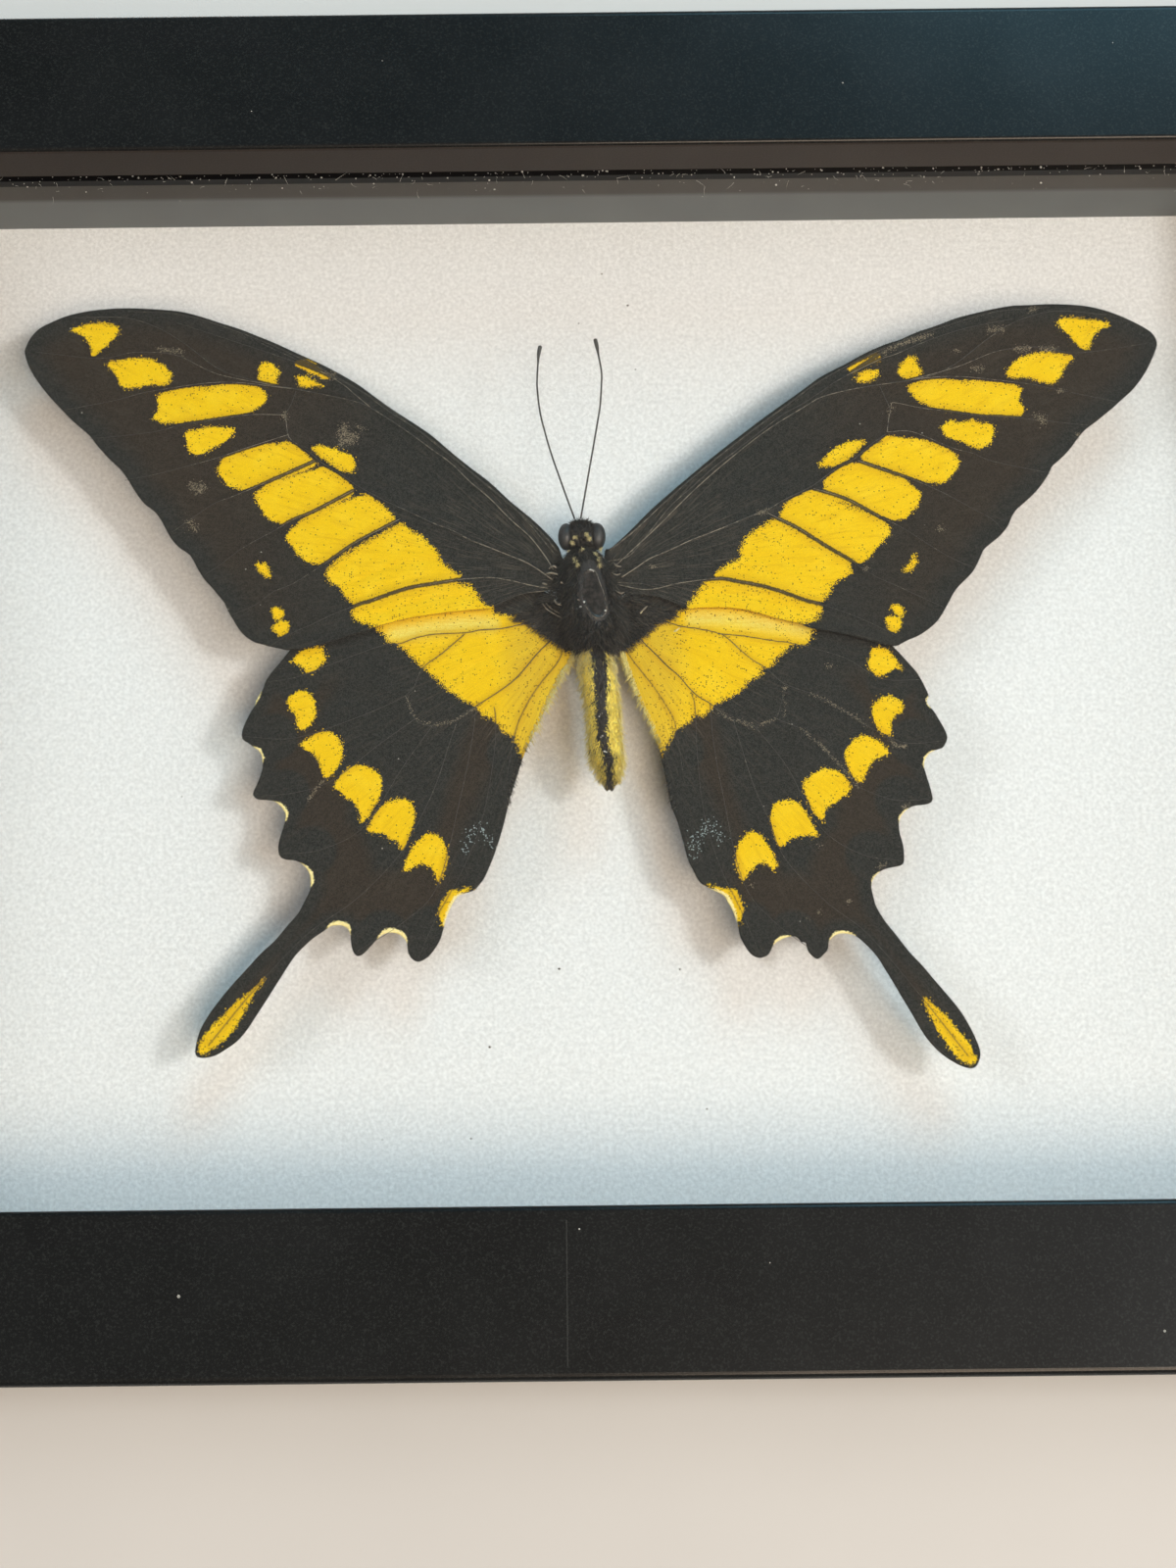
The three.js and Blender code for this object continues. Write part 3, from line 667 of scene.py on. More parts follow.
# %% Forewing spots
# Each line is a spot: how strongly dark scales pepper it, then its outline.
FOREWING_SPOTS = {
    "left": [
        (0.3, "-60.5 43.2, -58.9 43.8, -57.1 44.0, -55.6 43.8, -54.9 43.2, -55.3 42.4, -56.2 41.3,"
              "-57.2 40.4, -57.9 40.0, -58.1 41.1, -58.8 42.1, -59.7 42.8"),
        (0.3, "-56.1 38.8, -55.0 39.1, -53.4 39.4, -51.4 39.4, -50.0 38.9, -48.9 38.0, -48.5 37.2,"
              "-48.9 36.2, -50.7 36.2, -52.1 35.9, -53.4 35.7, -54.5 36.2, -55.0 37.4"),
        (0.2, "-50.0 34.7, -48.7 35.1, -46.9 35.5, -43.9 35.7, -41.4 35.9, -39.4 35.8, -37.9 35.3,"
              "-37.2 34.5, -37.7 33.5, -38.9 32.8, -40.7 32.3, -43.4 31.9, -46.2 31.6, -48.7 31.3,"
              "-50.4 31.9, -49.9 33.0"),
        (0.2, "-46.6 30.0, -45.6 30.3, -43.9 30.7, -42.3 30.7, -40.9 30.3, -41.6 29.2, -43.0 28.4,"
              "-44.1 27.7, -45.0 27.3, -46.1 27.7, -46.4 28.7"),
        (0.2, "-42.7 25.5, -42.1 26.6, -40.5 27.4, -38.4 28.0, -35.3 28.6, -34.2 28.4, -33.0 27.5,"
              "-32.1 26.7, -31.4 26.0, -32.6 25.3, -34.6 24.6, -36.0 24.2, -38.7 23.3, -40.3 23.0,"
              "-41.6 23.6, -42.5 24.9"),
        (0.5, "-31.7 28.0, -30.3 28.1, -28.5 27.6, -27.2 26.9, -26.8 26.1, -27.0 25.0, -28.3 25.2,"
              "-29.6 26.1, -30.8 27.0"),
        (0.8, "-37.7 38.8, -36.8 38.6, -36.2 38.2, -35.9 37.5, -36.3 36.2, -36.6 36.0, -38.0 36.5,"
              "-38.2 37.8"),
        (0.5, "-33.8 38.7, -32.7 38.9, -31.7 38.4, -31.0 37.6, -30.0 36.7, -30.7 36.8, -31.7 37.3,"
              "-32.7 37.8, -33.5 38.3"),
        (0.5, "-33.7 36.8, -33.2 37.0, -32.3 36.8, -31.5 36.3, -30.6 35.7, -31.3 35.7, -32.5 35.7,"
              "-33.3 35.9"),
        (0.2, "-38.2 22.2, -37.8 20.9, -37.0 19.6, -35.9 18.9, -34.6 18.9, -33.3 19.5, -31.0 20.3,"
              "-28.5 21.4, -27.1 22.2, -27.2 23.2, -28.5 24.3, -29.9 25.2, -30.9 25.4, -32.6 24.9,"
              "-34.6 24.2, -36.2 23.8, -37.5 22.9"),
        (0.3, "-34.6 17.1, -33.9 18.0, -32.6 19.1, -30.3 20.2, -28.0 21.2, -26.2 21.9, -25.3 21.9,"
              "-23.9 21.0, -22.8 20.1, -22.2 19.4, -22.4 18.6, -24.6 17.5, -26.9 16.1, -28.5 15.0,"
              "-29.9 14.1, -31.2 13.8, -32.6 14.3, -33.5 15.4, -34.3 16.4"),
        (0.8, "-29.9 12.4, -29.4 13.3, -28.0 14.5, -26.2 15.7, -24.2 16.8, -22.4 17.9, -21.1 18.4,"
              "-20.1 17.7, -18.7 16.7, -17.8 15.8, -17.1 14.9, -16.8 14.1, -16.2 13.4, -14.6 12.1,"
              "-14.9 11.6, -16.0 11.4, -17.8 11.1, -20.1 10.7, -22.4 10.0, -24.6 9.2, -26.2 8.8, -27.1 9.3,"
              "-28.0 10.1, -28.3 10.9, -29.2 11.4"),
        (1.0, "-26.8 7.8, -26.0 8.6, -24.2 9.2, -22.4 9.8, -20.1 10.4, -17.8 10.8, -15.5 11.2, -14.2 11.0,"
              "-13.3 10.9, -12.6 9.9, -11.9 8.9, -11.0 8.2, -9.9 7.7, -13.3 7.0, -17.8 6.8, -20.1 6.5,"
              "-22.4 6.2, -23.9 6.1, -25.1 6.4, -26.5 7.0"),
        (0.8, "-37.9 13.7, -37.0 13.8, -36.5 13.0, -36.3 12.3, -37.0 12.3, -37.6 13.0"),
        (0.35, "-36.0 8.3, -35.2 8.4, -34.6 7.8, -35.0 7.3, -35.5 6.9, -35.9 7.5"),
        (0.35, "-35.9 5.9, -35.2 6.8, -34.2 6.7, -34.2 5.8, -35.0 5.2"),
    ],
    "right": [
        (0.3, "56.4 43.2, 57.7 43.3, 59.1 43.2, 60.4 43.0, 61.6 42.8, 62.3 42.4, 61.8 42.1, 60.9 41.7,"
              "60.3 41.1, 60.0 40.4, 59.8 39.9, 59.4 39.4, 58.6 39.6, 58.1 40.3, 57.4 41.2, 56.6 42.1,"
              "56.2 42.7"),
        (0.4, "49.8 36.2, 50.1 37.0, 50.9 37.8, 52.0 38.5, 53.2 38.8, 54.5 38.9, 55.9 38.6, 57.0 38.5,"
              "57.7 38.1, 57.0 37.5, 56.4 36.7, 55.9 35.7, 55.1 35.0, 54.3 35.2, 53.2 35.5, 52.0 35.9,"
              "50.9 35.8"),
        (0.2, "38.1 34.7, 38.9 35.1, 40.2 35.5, 42.0 35.6, 44.1 35.4, 46.4 35.3, 48.2 35.1, 50.0 34.9,"
              "51.0 34.6, 51.5 34.2, 51.1 33.4, 51.1 32.6, 51.6 31.9, 51.2 31.2, 50.2 31.0, 48.4 31.1,"
              "46.4 31.3, 44.8 31.6, 42.9 31.8, 41.4 32.2, 40.0 32.7, 39.0 33.2, 38.6 33.9"),
        (0.3, "41.9 29.8, 42.9 30.5, 43.8 30.2, 45.2 30.5, 46.6 30.1, 47.7 29.9, 47.9 29.2, 47.7 28.4,"
              "47.4 27.7, 46.8 27.2, 45.9 27.0, 45.0 27.4, 44.1 27.9, 43.2 28.2, 42.3 28.7"),
        (0.2, "32.4 26.1, 33.4 27.0, 34.6 27.8, 35.5 28.5, 37.3 28.4, 38.9 28.2, 40.4 27.7, 42.0 27.0,"
              "43.1 26.3, 43.6 25.4, 43.3 24.4, 42.5 23.5, 41.6 22.8, 40.2 22.9, 38.9 23.3, 37.3 23.8,"
              "35.7 24.6, 34.4 25.1, 33.0 25.5"),
        (0.5, "27.4 25.1, 27.9 25.9, 28.9 26.9, 30.3 27.8, 31.8 28.1, 32.8 28.0, 32.1 27.2, 31.2 26.4,"
              "30.0 25.5, 28.7 25.0"),
        (0.8, "37.1 36.9, 37.5 37.8, 38.4 38.5, 39.2 38.5, 39.1 37.8, 39.8 36.8, 39.2 36.2, 38.1 35.9,"
              "37.4 36.3"),
        (0.6, "31.3 37.1, 31.8 37.6, 33.0 38.2, 34.0 38.8, 34.8 38.9, 34.8 38.2, 33.5 37.8, 32.5 37.3,"
              "31.8 36.7"),
        (0.7, "32.0 35.9, 32.3 36.2, 33.2 36.8, 34.2 36.9, 34.8 36.7, 34.3 36.0, 33.5 35.6, 32.4 35.6"),
        (0.2, "27.9 22.7, 28.2 23.3, 29.1 24.1, 30.3 24.9, 31.4 25.2, 32.8 25.0, 34.4 24.4, 36.4 23.6,"
              "37.7 22.7, 38.8 21.8, 39.0 21.1, 38.6 20.1, 37.7 19.1, 36.9 18.4, 35.9 18.4, 35.3 18.6,"
              "33.7 19.2, 32.1 19.9, 30.3 20.7, 28.7 21.3, 28.0 22.0"),
        (0.3, "22.8 19.1, 23.0 19.9, 23.9 20.7, 25.0 21.3, 26.4 21.9, 27.8 21.5, 29.1 20.8, 30.7 20.0,"
              "32.3 19.2, 33.7 18.5, 34.8 17.8, 35.3 17.0, 34.8 16.1, 33.9 15.2, 33.0 14.2, 32.1 13.3,"
              "30.9 13.3, 30.0 13.8, 28.7 14.8, 27.1 15.9, 25.5 16.9, 23.9 17.9, 23.0 18.5"),
        (0.9, "17.9 14.6, 18.1 15.3, 18.7 16.3, 19.6 17.1, 20.9 18.0, 22.0 18.4, 23.4 17.6, 25.0 16.7,"
              "26.6 15.7, 28.2 14.6, 30.0 13.4, 30.6 12.1, 30.0 11.5, 28.9 10.9, 28.3 10.3, 28.0 9.4,"
              "27.1 8.7, 26.2 8.4, 24.8 8.8, 23.0 9.6, 21.2 10.2, 18.9 10.8, 17.1 11.2, 15.7 11.4,"
              "15.0 11.9, 15.6 12.5, 16.9 13.3, 18.0 13.9"),
        (1.5, "14.2 11.1, 15.7 11.3, 17.5 10.9, 19.4 10.4, 21.2 9.9, 23.0 9.3, 24.8 8.5, 26.6 8.0,"
              "27.0 7.4, 26.2 6.4, 24.8 5.9, 23.4 5.9, 21.6 6.2, 19.8 6.6, 17.8 7.0, 15.7 7.2, 13.2 7.2,"
              "11.6 7.9, 12.1 8.6, 12.8 9.6, 13.5 10.5"),
        (0.8, "37.9 14.0, 38.2 13.4, 38.0 12.7, 37.5 12.2, 36.8 12.0, 36.7 12.4, 37.3 12.8, 37.6 13.4"),
        (0.35, "35.0 7.8, 35.4 8.0, 36.0 7.9, 36.3 7.4, 36.4 6.9, 36.1 6.6, 35.6 6.9, 35.2 7.3"),
        (0.35, "34.3 6.4, 35.0 6.6, 35.7 6.6, 36.1 6.1, 36.0 5.4, 35.5 4.9, 34.9 4.9, 34.6 5.4"),
    ],
}

# %% Forewing veins
# Each line is a vein: its radius at the root and at the tip, then its path from the body outwards.
FOREWING_VEINS = {
    "left": [
        (0.26, 0.08, "-3.3 14.9, -5.2 17.3, -9.0 20.9, -13.6 25.0, -18.1 29.0, -22.7 32.3, -27.1 35.6,"
                     "-34.1 39.6, -40.8 42.7, -47.5 44.9, -54.0 45.5"),
        (0.20, 0.08, "-3.5 14.5, -8.0 20.0, -15.0 26.2, -24.0 33.6, -31.0 37.6, -38.0 41.2"),
        (0.20, 0.10, "-3.7 12.6, -4.6 14.2, -6.4 16.7, -8.7 18.9, -11.0 21.4, -13.3 23.5, -15.5 25.8,"
                     "-17.8 27.6, -20.1 29.4, -22.4 31.1, -24.6 32.6, -26.9 33.7, -34.0 35.4, -36.2 35.8,"
                     "-39.6 36.7, -43.0 38.0, -47.0 41.2, -50.5 43.4, -54.5 44.7, -60.5 44.7"),
        (0.12, 0.07, "-25.1 33.0, -26.9 34.6, -28.5 36.0, -32.0 38.0, -41.0 41.4, -48.0 43.9"),
        (0.12, 0.07, "-36.2 35.8, -43.0 37.3, -48.0 39.8, -53.0 40.2, -57.0 39.5, -64.6 40.4"),
        (0.11, 0.07, "-34.0 35.4, -42.5 36.3, -50.7 35.3, -54.8 34.2, -61.0 33.0"),
        (0.20, 0.10, "-3.8 11.4, -6.4 13.3, -8.7 14.4, -11.0 15.4, -13.3 16.4, -15.5 17.6, -17.8 18.6,"
                     "-20.1 19.8, -22.4 20.9, -24.6 22.1, -26.9 23.5, -28.7 24.9, -30.5 26.0, -32.1 27.4,"
                     "-34.2 28.9"),
        (0.12, 0.11, "-34.2 28.9, -34.6 29.6, -34.9 31.5, -35.0 32.1, -34.3 33.5, -33.8 35.1"),
        (0.11, 0.07, "-35.0 32.1, -38.4 32.2, -40.7 32.0, -45.3 31.3, -47.5 30.9, -50.7 30.1, -57.8 29.4"),
        (0.11, 0.07, "-34.6 29.6, -39.6 28.0, -43.0 26.8, -46.4 25.8, -49.8 24.9, -53.5 24.2"),
        (0.11, 0.07, "-31.5 26.3, -36.0 24.2, -40.7 22.1, -43.0 21.2, -45.3 19.6, -48.0 17.6"),
        (0.11, 0.07, "-26.9 22.6, -31.5 20.1, -33.7 19.2, -36.0 17.8, -39.6 15.7, -41.9 13.9, -44.0 12.4"),
        (0.11, 0.07, "-21.4 19.1, -23.7 17.8, -26.9 16.0, -29.2 14.3, -31.4 12.8, -33.7 11.3, -36.0 10.3,"
                     "-38.0 8.8, -40.7 7.6"),
        (0.16, 0.07, "-4.4 10.4, -6.4 10.8, -8.7 11.4, -11.0 11.8, -13.3 11.7, -14.6 11.6, -17.8 11.1,"
                     "-20.1 10.7, -22.4 10.0, -24.6 9.2, -26.2 8.7, -29.0 7.6, -31.0 6.6, -33.0 5.7,"
                     "-34.4 5.0, -36.0 4.0"),
        (0.12, 0.06, "-4.6 10.1, -7.6 9.7, -10.3 8.5"),
    ],
    "right": [
        (0.26, 0.08, "2.8 14.9, 5.6 17.2, 10.1 21.5, 14.7 25.5, 19.2 29.1, 23.8 32.6, 28.0 35.7, 34.5 39.2,"
                     "41.9 42.1, 48.7 44.1, 55.4 44.7"),
        (0.20, 0.08, "2.6 13.6, 5.0 14.2, 7.1 16.7, 9.8 20.1, 12.5 22.6, 15.0 24.9, 17.8 27.1, 20.7 29.4,"
                     "23.4 31.5, 25.7 32.8, 27.8 34.2, 29.3 35.3, 31.0 36.3, 35.3 39.2, 37.9 40.2"),
        (0.18, 0.10, "3.4 13.0, 8.0 17.4, 14.0 23.4, 20.7 29.0, 26.2 32.6, 28.0 33.6, 31.4 34.5, 34.8 35.1,"
                     "38.4 35.6, 41.4 36.3, 44.1 37.8, 48.0 40.9, 51.5 43.0, 56.0 44.2, 62.0 43.6"),
        (0.12, 0.07, "31.0 36.3, 35.0 38.3, 36.8 38.9, 39.5 40.1, 42.3 41.2, 45.2 42.1, 48.6 42.8,"
                     "50.9 43.2"),
        (0.12, 0.07, "38.4 35.6, 44.0 37.2, 49.0 39.2, 54.0 39.6, 58.3 38.8, 66.4 39.9"),
        (0.11, 0.07, "34.8 35.1, 43.0 36.0, 51.6 35.1, 55.5 34.2, 62.5 32.6"),
        (0.20, 0.10, "4.1 11.6, 5.9 12.8, 7.5 13.9, 9.8 14.9, 12.1 16.0, 14.4 16.9, 16.6 17.8, 18.9 18.8,"
                     "21.2 19.7, 22.8 20.7, 24.6 21.6, 26.4 22.5, 28.0 23.7, 29.6 24.9, 31.4 25.8,"
                     "33.2 27.4, 35.3 28.9"),
        (0.12, 0.11, "35.4 29.1, 35.7 31.0, 35.9 31.9, 35.4 33.3, 34.8 34.9"),
        (0.11, 0.07, "36.0 32.4, 36.4 32.8, 39.5 32.1, 42.9 31.6, 46.4 31.0, 49.8 30.8, 59.0 29.7"),
        (0.11, 0.07, "35.4 29.1, 38.4 29.1, 42.9 27.1, 45.2 26.4, 47.7 25.3, 53.6 23.9"),
        (0.11, 0.07, "31.9 25.6, 33.2 25.1, 35.3 24.3, 37.7 23.4, 40.5 22.1, 42.5 21.0, 44.8 19.6,"
                     "47.0 18.3, 48.3 16.9"),
        (0.11, 0.07, "26.6 22.2, 28.2 21.7, 30.3 20.9, 32.3 19.8, 34.1 18.7, 35.5 18.0, 37.3 16.9,"
                     "39.5 15.3, 42.3 13.5, 44.6 12.4"),
        (0.11, 0.07, "21.2 19.3, 22.8 18.4, 24.6 17.4, 26.6 16.0, 28.7 14.6, 30.3 13.6, 31.6 12.6,"
                     "33.7 11.2, 36.0 10.1, 41.0 7.6"),
        (0.16, 0.07, "3.5 10.8, 7.1 10.1, 11.0 10.9, 15.3 11.4, 17.5 11.0, 20.3 10.4, 23.0 9.5, 25.3 8.6,"
                     "26.8 8.2, 30.0 7.0, 33.0 5.6, 35.5 4.2"),
        (0.10, 0.05, "3.0 11.0, 5.5 10.9, 9.0 10.6"),
    ],
}
FOREWING_FOLDS = {
    "left": ["-17.1 14.1, -20.1 13.8, -22.4 13.4, -24.6 12.5, -26.9 11.4", "-17.1 12.4, -20.1 11.9,"
                                                                           "-23.5 10.8, -26.2 9.6",
             "-13.5 9.6, -18.0 9.4, -24.5 7.4"],
    "right": ["18.9 14.1, 22.8 13.5, 24.8 12.6, 27.1 11.3, 28.2 10.9", "17.4 12.6, 20.8 12.0, 24.0 10.8,"
                                                                       "26.6 9.5",
              "14.5 9.6, 18.5 9.3, 25.0 7.0"],
}
# Places where the scales are rubbed off: width, then the stroke.
FOREWING_RUBS = {
    "left": [(0.45, "-45.6 23.4, -44.8 22.7"), (0.3, "-44.6 23.6, -44.2 23.3"), (0.4, "-46.0 19.0,"
                                                                                      "-45.2 18.2"),
             (0.5, "-28.3 30.0, -26.8 29.4"), (0.35, "-28.2 29.0, -27.2 28.6"), (0.25, "-26.4 30.6,"
                                                                                       "-25.9 30.3"),
             (0.3, "-35.0 32.3, -35.0 31.8"), (0.4, "-31.5 37.2, -29.5 36.9"), (0.3, "-50.0 40.6,"
                                                                                     "-47.5 40.3"),
             (0.35, "-28.0 30.8, -28.4 28.4")],
    "right": [(0.30, "35.8 31.7, 36.0 32.2"), (0.25, "20.1 19.3, 21.1 19.6"), (0.25, "43.9 39.3, 44.1 39.3"),
              (0.35, "48.0 41.9, 49.5 41.9"), (0.30, "53.1 44.4, 53.5 44.5"), (0.35, "51.0 39.4, 52.5 39.4"),
              (0.35, "54.0 39.3, 55.5 39.3"), (0.30, "46.0 37.0, 46.8 37.0"), (0.25, "55.8 34.0, 56.2 34.0"),
              (0.40, "53.2 30.9, 53.7 30.3"), (0.25, "57.6 28.6, 57.8 28.6"), (0.30, "41.0 17.2, 41.3 17.2"),
              (0.25, "35.5 39.2, 37.8 40.3, 41.1 41.3"), (0.25, "32.1 12.2, 32.4 12.3"), (0.2, "7.6 12.9,"
                                                                                               "7.9 12.9")],
}

# %% [markdown]
# ## The hindwings
# A hindwing has a scalloped edge with a long spoon-ended tail, a big yellow field near the body, a row of
# yellow moons and thin cream crescents in the hollows of the edge. A small patch of pale blue scales sits
# near the inner edge. The part of the outline that runs under the forewing is plain.

# %% Hindwing outlines
HINDWING_EDGE = {
    "left": points(
        "-34.1 3.4, -35.0 2.2, -35.9 1.1, -36.6 0.0, -36.9 -0.9, -37.1 -1.3, -37.7 -2.4, -37.8 -2.9,"
        "-38.2 -3.6, -38.8 -4.8, -39.2 -6.0, -39.1 -6.9, -38.4 -7.4, -37.8 -7.9, -37.3 -8.2, -36.9 -8.9,"
        "-36.8 -9.7, -36.8 -10.4, -37.1 -11.5, -37.5 -12.5, -37.8 -13.3, -37.3 -13.9, -36.2 -14.0,"
        "-35.3 -14.2, -34.6 -14.8, -34.1 -15.6, -34.1 -16.4, -34.4 -17.6, -34.7 -18.7, -34.8 -19.6,"
        "-34.6 -20.5, -33.9 -20.9, -32.9 -21.0, -32.0 -21.5, -31.3 -22.4, -31.1 -23.5, -31.2 -24.5,"
        "-31.8 -25.8, -32.5 -27.1, -33.7 -28.5, -35.0 -30.1, -36.4 -31.4, -38.0 -33.2, -39.6 -35.0,"
        "-40.9 -36.6, -42.1 -38.3, -43.0 -40.0, -43.4 -41.7, -43.4 -42.6, -42.8 -43.0, -41.4 -42.8,"
        "-40.3 -42.2, -38.9 -41.2, -37.8 -39.9, -36.9 -38.5, -35.9 -36.9, -34.8 -35.1, -33.7 -33.3,"
        "-32.8 -31.9, -31.9 -30.9, -30.7 -29.8, -29.8 -29.2, -29.1 -28.7, -28.8 -28.5, -27.8 -28.4,"
        "-27.0 -28.7, -26.6 -29.4, -26.5 -30.3, -26.3 -31.3, -25.8 -31.9, -25.2 -31.7, -24.4 -30.9,"
        "-23.6 -30.0, -23.0 -29.5, -22.2 -29.3, -21.4 -29.4, -20.7 -29.9, -20.3 -30.5, -20.2 -31.4,"
        "-19.8 -32.2, -19.0 -32.6, -18.0 -32.1, -17.3 -31.3, -16.6 -30.1, -16.2 -28.7, -15.9 -27.6,"
        "-15.3 -26.2, -14.7 -25.3, -14.0 -25.0, -12.8 -24.6, -12.3 -24.0, -11.7 -23.2, -10.8 -21.1,"
        "-10.1 -19.1, -9.4 -16.6, -8.9 -14.3, -8.1 -11.8, -7.3 -9.3, -6.7 -7.9, -5.8 -6.0, -5.1 -4.5,"
        "-4.4 -2.9, -3.8 -1.8, -2.9 0.2, -1.9 1.6, -1.4 3.0, -2.5 6.0, -3.4 9.0, -6.0 10.6, -15.0 11.0,"
        "-20.0 10.2, -25.0 9.0, -32.0 6.0"),
    "right": points(
        "35.2 3.1, 36.0 2.2, 36.8 1.2, 37.6 0.2, 38.1 -0.7, 38.6 -1.8, 38.9 -2.7, 38.7 -3.1, 38.7 -3.6,"
        "39.0 -4.0, 39.4 -4.5, 40.0 -5.6, 40.5 -6.6, 40.8 -7.6, 40.5 -8.4, 40.2 -8.8, 39.3 -9.1, 38.5 -9.6,"
        "38.0 -10.7, 38.2 -11.9, 38.6 -13.5, 38.8 -14.7, 38.5 -15.2, 37.7 -15.4, 36.7 -15.5, 35.9 -15.9,"
        "35.2 -16.6, 34.9 -17.4, 34.9 -18.5, 35.2 -19.9, 35.3 -21.0, 35.2 -22.1, 34.7 -22.4, 33.2 -22.7,"
        "32.3 -23.2, 31.7 -23.9, 31.5 -24.8, 31.7 -26.0, 32.0 -27.1, 32.9 -28.7, 34.1 -30.3, 35.4 -32.1,"
        "36.8 -33.7, 38.2 -35.5, 39.5 -37.1, 40.7 -38.7, 41.6 -40.3, 42.3 -41.9, 42.7 -43.3, 42.5 -44.3,"
        "42.0 -45.0, 41.1 -45.0, 39.8 -44.4, 38.4 -43.4, 37.2 -42.1, 36.4 -40.9, 35.5 -39.2, 34.5 -37.4,"
        "33.6 -35.7, 32.7 -34.1, 31.9 -32.7, 31.1 -31.7, 30.1 -30.7, 29.4 -30.2, 28.6 -30.0, 27.7 -30.0,"
        "26.9 -30.4, 26.5 -30.9, 26.4 -31.7, 26.0 -32.2, 25.3 -32.8, 24.7 -32.5, 24.2 -31.9, 24.1 -31.5,"
        "24.0 -31.0, 23.8 -30.8, 23.6 -31.0, 23.2 -30.5, 22.7 -30.2, 21.6 -30.4, 21.0 -30.7, 20.5 -31.0,"
        "20.1 -31.7, 19.7 -32.3, 18.8 -32.6, 17.9 -32.2, 17.2 -31.2, 16.7 -30.1, 16.5 -28.9, 16.2 -27.9,"
        "15.9 -27.1, 15.4 -26.2, 15.0 -25.5, 13.7 -24.8, 12.4 -24.0, 11.7 -22.7, 11.1 -21.4, 10.6 -19.3,"
        "10.0 -17.0, 9.3 -15.0, 8.9 -12.5, 8.4 -10.0, 8.3 -9.1, 7.7 -7.5, 7.3 -5.9, 6.7 -4.5, 5.9 -2.7,"
        "5.3 -1.1, 4.8 0.4, 4.3 1.8, 4.0 3.0, 3.8 6.0, 4.0 9.0, 6.5 10.6, 15.5 11.0, 20.0 10.2, 25.5 9.0,"
        "32.5 6.0"),
}

